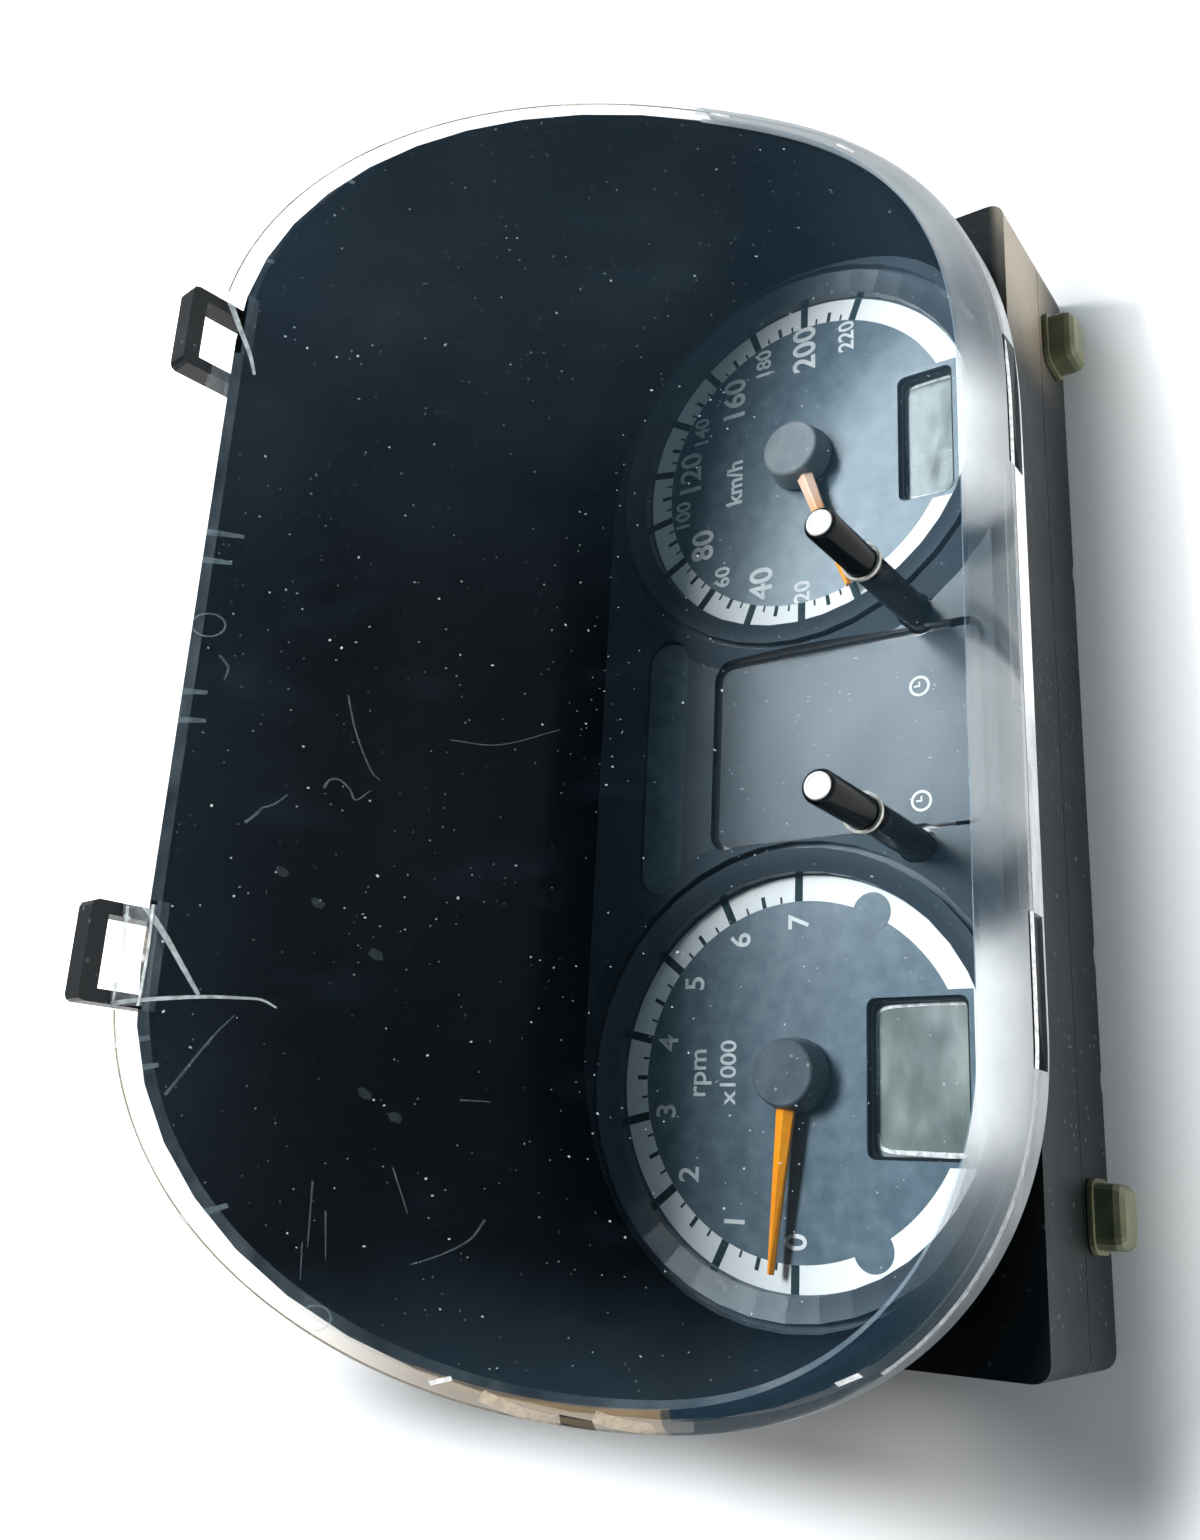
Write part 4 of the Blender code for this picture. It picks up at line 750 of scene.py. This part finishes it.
def make_lens(finishes):
    """The lens, with a finish for its pane, its flat margin and each stretch of its edge."""
    outer = lens_loops(0.0, 0.0, True)
    inner = lens_loops(LENS_WALL, LENS_WALL_Z)
    verts, faces = loft(inner[::-1] + outer)
    hole = STALK_RADIUS + STALK_GAP
    tools = [turned([(hole, 0.0), (hole, LENS_HEIGHT)], side * STALK_X, STALK_Y, 64) for side in (-1, 1)]
    for middle, low, high, arm_low, arm_high in NOTCHES:
        for x0, x1, floor in ((low, high, NOTCH_FLOOR), (arm_low, arm_high, ARM_SLOT_FLOOR)):
            tools.append(box_tool((middle + x0, middle + x1), (floor, LENS_TOP + PAST),
                                  (LENS_HEIGHT, LENS_HEIGHT * 3)))
    for x0, x1 in SNAP_RANGES:
        tools.append(box_tool((x0 - SNAP_GAP, x1 + SNAP_GAP), (-LENS_BOTTOM - PAST, -LENS_BOTTOM + SNAP_IN),
                              (SNAP_LOW, SNAP_LOW + SNAP_TALL)))
    mesh = cut_mesh(verts, faces, tools)
    pane = pane_outline(-HAIR)
    flat = inset(OUTLINE, [edge_round(y) - HAIR for _, y in OUTLINE])
    keys = ("pane", "band", "rim", "round", "skirt")
    dress("lens_shell", mesh, [finishes[key] for key in keys],
          stands_for=("front_lens",))
    for polygon in mesh.polygons:
        x, y, z = polygon.center - ORIGIN
        below = lens_plane(y) - z
        front = below < LENS_WALL_Z * 1.3
        if front and is_inside(pane, x, y):
            key = "pane"
        elif front and is_inside(flat, x, y):
            key = "band"
        elif y > RIM_FROM:
            key = "rim"
        elif below > edge_round(y) + SKIRT_FROM:
            key = "skirt"
        else:
            key = "round"
        polygon.material_index = keys.index(key)


def is_inside(outline, x, y):
    """True if the point is inside the outline."""
    inside = False
    for (x0, y0), (x1, y1) in zip(outline, outline[1:] + outline[:1]):
        if (y0 > y) != (y1 > y) and x < (x1 - x0) * (y - y0) / (y1 - y0) + x0:
            inside = not inside
    return inside


# ---- marks on the lens
# Places in millimetres; a line starts with its first and last width.
EDGE_TABS = ((114.0, 64.5), (89.9, 76.7), (21.1, 76.5), (14.7, 76.4), (-14.5, 77.4), (-20.6, 77.3),
             (-84.1, 77.2), (-89.3, 76.4), (-114.2, 64.5))
GLINTS = (
    (0.8, 0.8, (-139.4, 29.0), (-138.4, 26.0)), (0.8, 0.8, (137.0, 28.5), (136.6, 25.4)),
    (0.8, 0.8, (143.2, -3.0), (142.8, -6.4)), (0.8, 0.8, (138.6, -26.4), (136.9, -29.6)),
    (0.8, 0.8, (-136.8, -26.2), (-135.0, -29.4)),
)
END_TABS = (
    (2.2, 2.2, (140.4, 24.0), (142.4, 18.6), (143.6, 13.4)),
    (2.2, 2.2, (144.1, 10.4), (145.0, 4.6), (145.3, -1.6)),
    (2.2, 2.2, (-141.0, 22.0), (-143.5, 17.0), (-144.9, 12.4)),
    (2.2, 2.2, (-143.6, 6.7), (-144.9, 3.0), (-145.5, -0.9)),
)
SEAMS = (                       # each with its height over the lens, in metres
    (0.00012, (2.0, 2.0, (143.7, 12.8), (144.1, 10.8))),
    (0.0003, (0.5, 0.5, (-58.4, 77.6), (-67.0, 77.3), (-76.6, 77.7))),
    (0.0003, (0.4, 0.4, (-57.8, 74.0), (-67.0, 73.8), (-77.0, 74.0))),
    (0.0004, (0.8, 0.6, (-60.0, 77.8), (-61.0, 77.0))),
    (0.0004, (0.8, 0.6, (-67.6, 74.6), (-68.4, 74.0))),
    (0.0004, (0.8, 0.6, (-73.2, 77.9), (-74.0, 77.1))),
)
LOW_HIGHLIGHT_FROM = -0.030               # below this place the bead is the wider one, a line of painted highlight
BEAD = ((0.0002, 0.0), (0.00005, 0.00026), (-0.0002, 0.0), (0.00005, -0.00026))
LOW_HIGHLIGHT_SECTION = ((0.0, 0.0), (-0.0004, 0.0007), (-0.0006, 0.0), (0.0, -0.0005))
BRIDGE = (5.2, 5.2, (-57.8, 76.2), (-67.0, 76.2), (-77.0, 76.2))
BLOCK = (3.6, 3.2, (-62.3, 76.1), (-69.0, 75.3))
END_GAP = (1.8, 1.8, (-144.4, 11.6), (-145.3, 7.2))
CRACKS = (
    (1.0, 0.5, (77.1, 76.6), (69.9, 74.1), (64.0, 72.0), (59.1, 70.8)),
    (1.2, 0.6, (-52.9, 78.9), (-58.0, 75.3), (-63.4, 71.9), (-69.8, 68.4), (-74.2, 66.0)),
    (0.9, 0.3, (-77.0, 78.3), (-75.9, 74.0), (-74.6, 65.9), (-74.3, 60.2), (-74.4, 57.1), (-75.7, 54.9)),
)
SCRATCHES = (
    (0.30, 0.15, (-106.4, 47.2), (-117.8, 46.9)),
    (0.25, 0.12, (-117.0, 47.7), (-123.4, 47.4)),
    (0.25, 0.12, (-111.5, 45.0), (-119.8, 44.3)),
    (0.25, 0.12, (-103.3, 36.4), (-111.2, 33.8)),
    (0.50, 0.20, (-92.8, 68.7), (-82.4, 63.6), (-77.5, 60.6)),
    (0.30, 0.15, (-90.5, 27.9), (-90.5, 23.6)),
    (0.35, 0.20, (-111.5, 23.1), (-115.1, 25.0), (-118.0, 28.9), (-119.9, 32.9)),
    (0.30, 0.20, (-12.2, 49.9), (-18.5, 48.5), (-23.6, 46.9), (-28.0, 45.1), (-29.6, 43.8)),
    (0.25, 0.15, (-20.0, 33.8), (-20.2, 26.2), (-15.9, 17.1)),
    (0.55, 0.25, (-40.4, 62.8), (-38.3, 61.2), (-37.2, 60.6), (-36.2, 58.9), (-34.1, 57.1)),
    (0.40, 0.25, (-32.1, 51.9), (-30.4, 51.2), (-30.2, 49.7), (-32.1, 48.0), (-34.1, 47.0), (-31.8, 44.9)),
    (0.60, 0.40, (8.0, 76.2), (0.0, 76.2), (-6.6, 76.1)),
    (0.50, 0.30, (-6.0, 69.9), (-8.6, 68.4), (-11.3, 68.7)),
)
FLECKS = ((67.1, 63.0), (65.6, 58.0), (66.4, 54.6), (-37.5, 67.9), (-0.7, 53.6), (-2.2, 51.7))
SMUDGES = ((-49.6, 56.5), (-55.2, 50.8), (-64.4, 41.7), (-90.4, 41.3), (-94.4, 36.8))
DISPLAY_GLARE_LINES = (                  # painted reflections on the displays; here the places are shares of the glass, across and up
    (0.8, 0.5, (0.97, 0.06), (0.97, 0.50), (0.95, 0.90), (0.86, 0.96), (0.58, 0.96), (0.40, 0.97)),
    (0.6, 1.3, (0.16, 0.96), (0.06, 0.90), (0.04, 0.50), (0.03, 0.06)),
)
RINGS = ((0.3, 72.2, 2.5), (-129.6, 44.9, 2.1), (-0.8, -55.6, 1.0))      # place and radius
DUST_COUNT = 1300
DUST_RANGES = ((-0.142, 0.142), (-0.062, 0.076))                # in metres


def lens_surface(x, y):
    """Height of the lens's outer face over a place inside its outline."""
    here = Vector((x, y))
    near = 1.0
    for start, end in zip(OUTLINE, OUTLINE[1:] + OUTLINE[:1]):
        start, end = Vector(start), Vector(end)
        along = end - start
        share = min(1.0, max(0.0, (here - start).dot(along) / max(along.length_squared, 1e-12)))
        near = min(near, (here - start - along * share).length)
    radius = edge_round(y)
    away = max(0.0, radius - near)
    return lens_plane(y) - radius + math.sqrt(max(radius ** 2 - away ** 2, 0.0))


def laid(points, lift=0.00005):
    """Flat places laid on the lens."""
    return [at(x, y, lens_surface(x, y) + lift) for x, y in points]


def smoothed(points, steps=5):
    """A curve through all the points."""
    path = [Vector(point) for point in points]
    path = [path[0] * 2 - path[1]] + path + [path[-1] * 2 - path[-2]]
    curve = []
    for a, b, c, d in zip(path, path[1:], path[2:], path[3:]):
        for k in range(steps):
            t = k / steps
            curve.append(0.5 * (2 * b + (c - a) * t + (2 * a - 5 * b + 4 * c - d) * t * t
                                + (3 * b - a - 3 * c + d) * t ** 3))
    return curve + [path[-2]]


def heading(path, i):
    """Direction of a path at one of its points."""
    return (Vector(path[min(i + 1, len(path) - 1)]) - Vector(path[max(i - 1, 0)])).normalized()


def ribbon(first, last, points, lift=0.00005, level=None):
    """A thin strip through places in millimetres, tapering, on the lens or flat at a level."""
    path = [point * 0.001 for point in smoothed(points)]
    edge = []
    for i, here in enumerate(path):
        along = heading(path, i)
        width = (first + (last - first) * i / (len(path) - 1)) * 0.001
        across = Vector((-along.y, along.x)) * width / 2
        edge += [here + across, here - across]
    faces = [(2 * i, 2 * i + 1, 2 * i + 3, 2 * i + 2) for i in range(len(path) - 1)]
    if level is not None:
        return [at(*place, level + lift) for place in edge], faces
    return laid(edge, lift), faces


def strips(lines, lift=0.00005):
    """A strip for each line of a table."""
    return [ribbon(first, last, points, lift) for first, last, *points in lines]


def blot(dice, x, y, wide, tall, turn=0.0, sides=9, lift=0.00005):
    """An uneven flat patch on the lens, in millimetres."""
    points = []
    for k in range(sides):
        angle = 2 * math.pi * k / sides
        reach = dice.uniform(0.75, 1.1) / 2000
        px, py = wide * reach * math.cos(angle), tall * reach * math.sin(angle)
        points.append((x / 1000 + px * math.cos(turn) - py * math.sin(turn),
                       y / 1000 + px * math.sin(turn) + py * math.cos(turn)))
    return laid(points, lift), [tuple(range(sides))]


def make_lens_marks(finishes):
    """Weld tabs, cracks, scratches and dust on the clear lens."""
    dice = random.Random(11)
    tabs, streaks = [], []
    for x, y in EDGE_TABS:
        towards = Vector((-x * 0.25, -y)).normalized()
        across = Vector((-towards.y, towards.x))
        here = Vector((x, y))
        tabs.append(ribbon(1.5, 1.3, (here - across * 0.9, here + across * 0.9), 0.00008))
        streaks.append(ribbon(1.6, 0.8, (here + towards, here + towards * dice.uniform(5, 8))))
    on_lens("weld_tabs", tabs, finishes["mark"])
    on_lens("weld_streaks", streaks, finishes["ghost"])
    on_lens("edge_glints", strips(GLINTS, 0.00010), finishes["glint"])
    on_lens("lens_cracks", strips(CRACKS, 0.00012), finishes["crack"])
    on_lens("lens_scratches", strips(SCRATCHES), finishes["scratch"])
    rings = []
    for x, y, radius in RINGS:
        circle = [(x + radius * math.cos(math.radians(a)), y + radius * math.sin(math.radians(a)))
                  for a in range(0, 361, 24)]
        rings.append(ribbon(0.35, 0.35, circle))
    on_lens("moulding_rings", rings, finishes["ghost"])
    on_lens("lens_flecks", [blot(dice, x, y, 0.55, 0.42) for x, y in FLECKS], finishes["mark"])
    on_lens("lens_smudges", [blot(dice, x, y, 2.7, 1.8, 0.8, 18) for x, y in SMUDGES], finishes["smudge"])
    pane = pane_outline(0.0004)
    flakes = []
    while len(flakes) < DUST_COUNT:
        x, y = [dice.uniform(*reach) for reach in DUST_RANGES]
        if is_inside(pane, x, y):
            tall = dice.uniform(0.09, 0.20) + dice.random() ** 6 * 0.30
            wide = tall * dice.uniform(1.0, 1.8)
            flakes.append(blot(dice, x * 1000, y * 1000, wide, tall, dice.uniform(0, 3), 6))
    on_lens("lens_dust", flakes, finishes["dust"])


def bead(path, inward, section):
    """A thin rod along the lens's outline; its section is given outwards and up."""
    loops = []
    for i, (x, y) in enumerate(path):
        along = heading(path, i)
        out = Vector((along.y, -along.x))
        centre = Vector((x, y)) - out * inward
        z = lens_plane(y) - edge_round(y)
        loops.append([at(*(centre + out * a), z + b) for a, b in section])
    return loft(loops)


def make_lens_edge(finishes):
    """The thin bead round the lens with a line of painted highlight along its lower edge, its end tabs and
    the clear bridge in the left notch.
    """
    below = [i for i, point in enumerate(OUTLINE) if point[1] <= LOW_HIGHLIGHT_FROM]
    first, last = below[0], below[-1]
    runs = [[]]
    for x, y in OUTLINE[last + 1:] + OUTLINE[:first]:
        notch = any(y > 0 and middle + low < x < middle + high for middle, low, high, _, _ in NOTCHES)
        if notch and runs[-1]:
            runs.append([])
        elif not notch:
            runs[-1].append((x, y))
    rods = [bead(run, 0.0002, BEAD) for run in runs if len(run) >= 3]
    on_lens("lens_bead", rods, finishes["edge"])
    # along the lower edge the bead is a line of painted highlight
    on_lens("lens_low_highlight", [bead(OUTLINE[first:last + 1], 0.0, LOW_HIGHLIGHT_SECTION)], finishes["glint"])
    on_lens("end_tabs", strips(END_TABS, 0.00012), finishes["cream"])
    seams = [ribbon(*line[:2], line[2:], lift) for lift, line in SEAMS]
    on_lens("edge_seams", seams, finishes["mark"])
    on_lens("notch_bridge", strips([BRIDGE], 0.0001), finishes["clear"])
    on_lens("notch_block", strips([BLOCK], 0.0002), finishes["cream"])
    window = blot(random.Random(5), -71.9, 75.5, 5.6, 3.0, 0.0, 16, 0.0003)
    on_lens("notch_window", [window], finishes["smudge"])
    piece("end_gap", *merge(*strips([END_GAP], 0.00012)), finishes["groove"], slot="black_plastic")


# ---- dials
def make_scale_ring(dial, cx, finishes):
    window_low, window_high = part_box(dial + "_lcd_frame")
    band = arc_band(cx, 0.0, RING_INNER, RING, -90, 269.99, 0.0, PRINT, 180)
    window = box_tool((window_low.x, window_high.x),
                      (window_low.y - ORIGIN.y, window_high.y - ORIGIN.y), (-0.001, 0.001))
    mesh = cut_mesh(*band, [window])
    dress(dial + "_scale_ring", mesh, finishes["white_print"])


def make_scale_marks(dial, cx, angles, finishes):
    """Dark bars across the ring, with three notches between each two."""
    top = 2 * PRINT
    shapes = [bar(cx, 0, angle, RING_INNER, RING, 0.0020, PRINT, top) for angle in angles]
    for angle, after in zip(angles, angles[1:]):
        for share, outer, width in SHORT_MARKS:
            shapes.append(bar(cx, 0, angle + (after - angle) * share, RING_INNER, outer, width, PRINT, top))
    piece(dial + "_scale_marks", *merge(*shapes), finishes["tick"], slot="printed_dial")


def round_dial(cx, radius, angle):
    """A place on a dial's face; the angle is in radians."""
    return cx + radius * math.cos(angle), radius * math.sin(angle), 0.0


def tacho_print(cx):
    shapes = []
    for value, angle in enumerate(TACHO_MARKS):
        shapes.append(words(str(value), 0.0052, round_dial(cx, 0.768 * RING, math.radians(angle)), 0.00010))
    shapes.append(words("rpm", 0.0048, (cx + 0.021 * RING, 0.536 * RING, 0.0), 0.00008))
    shapes.append(words("x1000", 0.0041, (cx + 0.021 * RING, 0.389 * RING, 0.0), 0.00008))
    return shapes


def speedo_print(cx):
    """Every second numeral is larger; all end at about the same distance from the scale."""
    shapes = []
    for value in range(20, 221, 20):
        large = value % 40 == 0
        size, reach, grow = (0.0063, 0.838 * RING, 0.00018) if large else (0.0042, 0.853 * RING, 0.00012)
        angle = math.radians(200 - value)
        half_wide = size * 0.41 * (2 if value < 100 else 3) * 0.66
        radius = reach - half_wide * abs(math.cos(angle)) - size / 2 * abs(math.sin(angle))
        shapes.append(words(str(value), size, round_dial(cx, radius, angle), grow))
    shapes.append(words("km/h", 0.0046, (cx - 0.02 * RING, 0.44 * RING, 0.0), 0.00014))
    return shapes


def make_numerals(dial, shapes, finishes):
    piece(dial + "_numerals", *merge(*shapes), finishes["grey_print"], slot="printed_dial", sharp=20)


def make_lobes(cx, finishes):
    """Two dark round bays in the tachometer's ring."""
    across, up, radius = LOBE
    profile = [(radius, PRINT), (radius, 2 * PRINT)]
    shapes = [turned(profile, cx + side * across, up, 48) for side in (-1, 1)]
    piece("tacho_ring_lobes", *merge(*shapes), finishes["dial"], slot="printed_dial")


def make_clock_signs(finishes):
    """A small clock face beside each push stalk."""
    shapes = []
    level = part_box("centre_panel")[1].z - ORIGIN.z
    tall = (level, level + PRINT)
    for cx, cy in CLOCKS:
        shapes.append(arc_band(cx, cy, 0.0019, 0.0025, 0, 359.9, *tall, 40))
        shapes.append(box_tool((cx - 0.0002, cx + 0.0002), (cy - 0.0002, cy + 0.0013), tall))
        shapes.append(box_tool((cx + 0.0002, cx + 0.0011), (cy - 0.0002, cy + 0.0002), tall))
    piece("clock_signs", *merge(*shapes), finishes["white_print"], slot="printed_dial")


def make_hub(dial, cx, finishes):
    low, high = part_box(dial + "_hub_cap")
    top, base = high.z - ORIGIN.z, low.z - ORIGIN.z
    outer = (high.x - low.x) / 2
    radius = HUB_RADIUS
    profile = [(HAIR, base), (outer, base), (outer, base + 0.0008), (radius + 0.0001, top - 0.0012),
               (radius, top - 0.0005), (radius - 0.0002, top - 0.0002), (radius - 0.0006, top),
               (radius - 0.0012, top - 0.0001), (HAIR, top - 0.0001)]
    # the speedometer's hub is painted lighter: painted glare
    finish = finishes["pale_hub" if dial == "speedo" else "hub"]
    piece(dial + "_hub", *turned(profile, cx, 0.0), finish, dial + "_needle", "black_plastic",
          (dial + "_hub_cap",))


def make_stalk(side_name, side, finishes):
    """The dark rod with its pale cap, and a pale ring of painted light round it at its hole in the lens."""
    low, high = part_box(side_name + "_push_stalk")
    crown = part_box(side_name + "_stalk_cap")[1].z - ORIGIN.z
    base, top = low.z - ORIGIN.z, high.z - ORIGIN.z
    seat = top - 0.0006
    body = side_name + "_button"
    x = side * STALK_X
    radius = STALK_RADIUS
    wide = (high.x - low.x) / 2
    profile = [(HAIR, base), (wide, base), (wide, base + 0.0018), (radius, base + 0.0018),
               (radius, top - 0.0009), (radius - 0.0002, top - 0.0004), (radius - 0.0006, top),
               (0.0030, top), (0.0030, seat), (HAIR, seat)]
    piece(side_name + "_stalk_rod", *turned(profile, x, STALK_Y, 64), finishes["stalk"], body,
          "black_plastic", (side_name + "_push_stalk",))
    profile = [(HAIR, seat), (0.0029, seat), (0.0029, crown - 0.0003), (0.0027, crown), (0.0022, crown),
               (0.0020, crown - 0.00015), (HAIR, crown - 0.0001)]
    piece(side_name + "_stalk_face", *turned(profile, x, STALK_Y, 64), finishes["cap"], body,
          "bright_tip", (side_name + "_stalk_cap",))
    # a ring of painted light at the edge of the lens's hole
    level = lens_plane(STALK_Y)
    inner, outer, tall = radius + 0.00025, radius + 0.0008, 0.0005
    profile = [(inner, level - tall), (outer, level - tall), (outer, level + tall), (inner, level + tall),
               (inner, level - tall)]
    on_lens(side_name + "_hole_rim", [turned(profile, x, STALK_Y, 64, (False, False))], finishes["collar"])


def make_film_glints(finishes):
    """Painted reflections: bright lines on each display's glass, along its frame."""
    lines = []
    for dial in DIALS:
        low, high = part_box(dial + "_lcd_glass")
        level = high.z - ORIGIN.z
        for first, last, *shares in DISPLAY_GLARE_LINES:
            path = [((low.x + u * (high.x - low.x) - ORIGIN.x) * 1000,
                     (low.y + v * (high.y - low.y) - ORIGIN.y) * 1000) for u, v in shares]
            lines.append(ribbon(first, last, path, PRINT, level))
    piece("display_glare_glints", *merge(*lines), finishes["film"], slot="display_glass")


# ---- dressing of the solids
SHADED_HOOD_FROM = 0.0015              # the housing has the hood's finish above this height over the dials: a darker, less glossy copy of its black plastic, painted shade
SLOT_FINISH = {
    "black_plastic": "black", "mask_plastic": "mask", "white_plastic": "white", "printed_dial": "dial",
    "orange_plastic": "orange", "display_glass": "glass", "olive_nylon": "nylon", "green_board": "board",
    "zinc_steel": "steel", "chip_epoxy": "chip", "bright_tip": "cap", "clear_plastic": "rim",
}


def dress_solids(finishes):
    """Give each carried-over solid the finish of its slot."""
    for name, solid in NODES.items():
        for slot in solid.material_slots:
            kind = slot.material.name.split(".")[0] if slot.material else "black_plastic"
            slot.material = finishes[SLOT_FINISH.get(kind, "black")]
        # the speedometer's pointer has painted glare towards its hub
        if name == "speedo_pointer":
            solid.material_slots[0].material = finishes["bleached"]
        # the hood part of the housing gets the darker copy: painted shade
        if name == "housing":
            solid.data.materials.append(finishes["hood"])
            for polygon in solid.data.polygons:
                polygon.material_index = int(polygon.center.z > ORIGIN.z + SHADED_HOOD_FROM)
        solid.data.shade_smooth()
        solid.data.set_sharp_from_angle(angle=math.radians(50 if "clip" in name else 32))


# ---- stage
FLOOR = 6.0                     # half of its side
SHADE_MIDDLE = 0.075            # place on Y of the shade painted on the floor
SHADE_DEPTH = 0.86
CAMERA_LENS = 32.34
CAMERA_PLACE = (-0.10772, -0.14588, 0.28480)
CAMERA_RIGHT = (0.05233, -0.81989, -0.57012)
CAMERA_UP = (0.95278, -0.13001, 0.27442)


def make_floor():
    """A white floor with shade painted beside the object; it gives some light of its own, more far out."""
    made, tree = material("floor_paint")
    path = node(tree, "LightPath")
    noise = object_noise(tree, 6.0, 2.0)
    x, y = places(tree, "XY")
    beside = maths(tree, "ABSOLUTE", maths(tree, "SUBTRACT", y, SHADE_MIDDLE))
    shade = SHADE_DEPTH
    for place, low, high in ((x, -0.186, -0.160), (beside, 0.150, 0.050), (x, -0.060, -0.110)):
        shade = times(tree, fade(tree, place, low, high), shade)
    paint = ramp(tree, noise, ((0.3, 0.86), (0.7, 0.88)))
    paint = mix(tree, shade, paint, (0.0, 0.0, 0.0))
    feed(tree, Base_Color=paint, Roughness=0.9, Specular_IOR_Level=0.0, Emission_Color=(1, 1, 1, 1))
    seen = maths(tree, "MAXIMUM", path.outputs["Is Camera Ray"], path.outputs["Is Glossy Ray"])
    seen = maths(tree, "MAXIMUM", seen, path.outputs["Is Transmission Ray"])
    lift = maths(tree, "MAXIMUM", fade(tree, y, -0.053, -0.086), fade(tree, y, 0.160, 0.300))
    lift = times_plus(tree, lift, 0.72, 0.09)
    feed(tree, Emission_Strength=times(tree, seen, lift))
    corners = [(FLOOR * x, FLOOR * y, 0) for x, y in ((-1, -1), (1, -1), (1, 1), (-1, 1))]
    mesh = mesh_of("floor", corners, [(0, 1, 2, 3)])
    mesh.materials.append(made)
    floor = placed("floor", mesh)


def make_world():
    """A studio with a pale backdrop round the horizon and a dim ceiling."""
    world = bpy.data.worlds.new("studio")
    bpy.context.scene.world = world
    world.use_nodes = True
    tree = world.node_tree
    background = tree.nodes["Background"]
    path = node(tree, "LightPath")
    split = node(tree, "SeparateXYZ", Vector=node(tree, "TexCoord").outputs["Generated"])
    ceiling = fade(tree, split.outputs["Z"], 0.15, 0.50)
    glossy = mix(tree, ceiling, (1.0, 1.0, 1.0), (0.05, 0.08, 0.11))
    seen = maths(tree, "MAXIMUM", path.outputs["Is Camera Ray"], path.outputs["Is Transmission Ray"])
    colour = mix(tree, path.outputs["Is Glossy Ray"], (0.10, 0.135, 0.155), glossy)
    colour = mix(tree, seen, colour, (1.0, 1.0, 1.0))
    tree.links.new(colour, background.inputs["Color"])


def stand(made, place, across, up, back):
    """Put a lamp or the camera at a design place, with its own axes."""
    turn = Matrix((across, up, back)).transposed().to_4x4()
    made.matrix_world = Matrix.Translation(at(*place)) @ turn


def make_lamp(name, place, size, power, colour=(1, 1, 1), glossy=True):
    """A rectangular lamp at a design place, turned to the dials."""
    data = bpy.data.lights.new(name, "AREA")
    data.shape = "RECTANGLE"
    data.size, data.size_y = size
    data.energy = power
    data.color = colour
    lamp = placed(name, data)
    back = Vector(place).normalized()
    across = (Vector((1, 0, 0)) - back * back.x).normalized()
    stand(lamp, place, across, back.cross(across), back)
    lamp.visible_glossy = glossy


def make_camera():
    """The photograph's viewpoint: below left of the dials, with the camera on its side."""
    data = bpy.data.cameras.new("camera")
    data.sensor_width = 36.0
    data.lens = CAMERA_LENS
    data.clip_start = 0.01
    camera = placed("camera", data)
    right = Vector(CAMERA_RIGHT)
    back = right.cross(Vector(CAMERA_UP)).normalized()
    right.normalize()
    stand(camera, CAMERA_PLACE, right, back.cross(right), back)
    bpy.context.scene.camera = camera


# ---- all
def main():
    """Dress the solids, then add the pieces, the stage and the lights."""
    finishes = make_finishes()
    dress_solids(finishes)
    make_camera()
    make_lens(finishes)
    make_lens_marks(finishes)
    make_lens_edge(finishes)
    for dial, cx in DIALS.items():
        make_scale_ring(dial, cx, finishes)
        make_scale_marks(dial, cx, TACHO_MARKS if dial == "tacho" else SPEEDO_MARKS, finishes)
        make_numerals(dial, tacho_print(cx) if dial == "tacho" else speedo_print(cx), finishes)
        make_hub(dial, cx, finishes)
    make_lobes(DIALS["tacho"], finishes)
    make_film_glints(finishes)
    make_clock_signs(finishes)
    for name, side in (("left", -1), ("right", 1)):
        make_stalk(name, side, finishes)
    make_floor()
    make_world()
    make_lamp("key_lamp", (0.20, 0.62, 1.17), (0.36, 0.36), 22.5, glossy=False)
    make_lamp("soft_box", (0.59, 0.43, 1.00), (0.68, 0.24), 4.6, (0.80, 0.93, 1.0))
    make_lamp("low_fill", (-0.35, -1.30, -0.005), (1.0, 0.08), 17.0, glossy=False)
    bpy.context.scene.view_settings.view_transform = "Standard"


main()
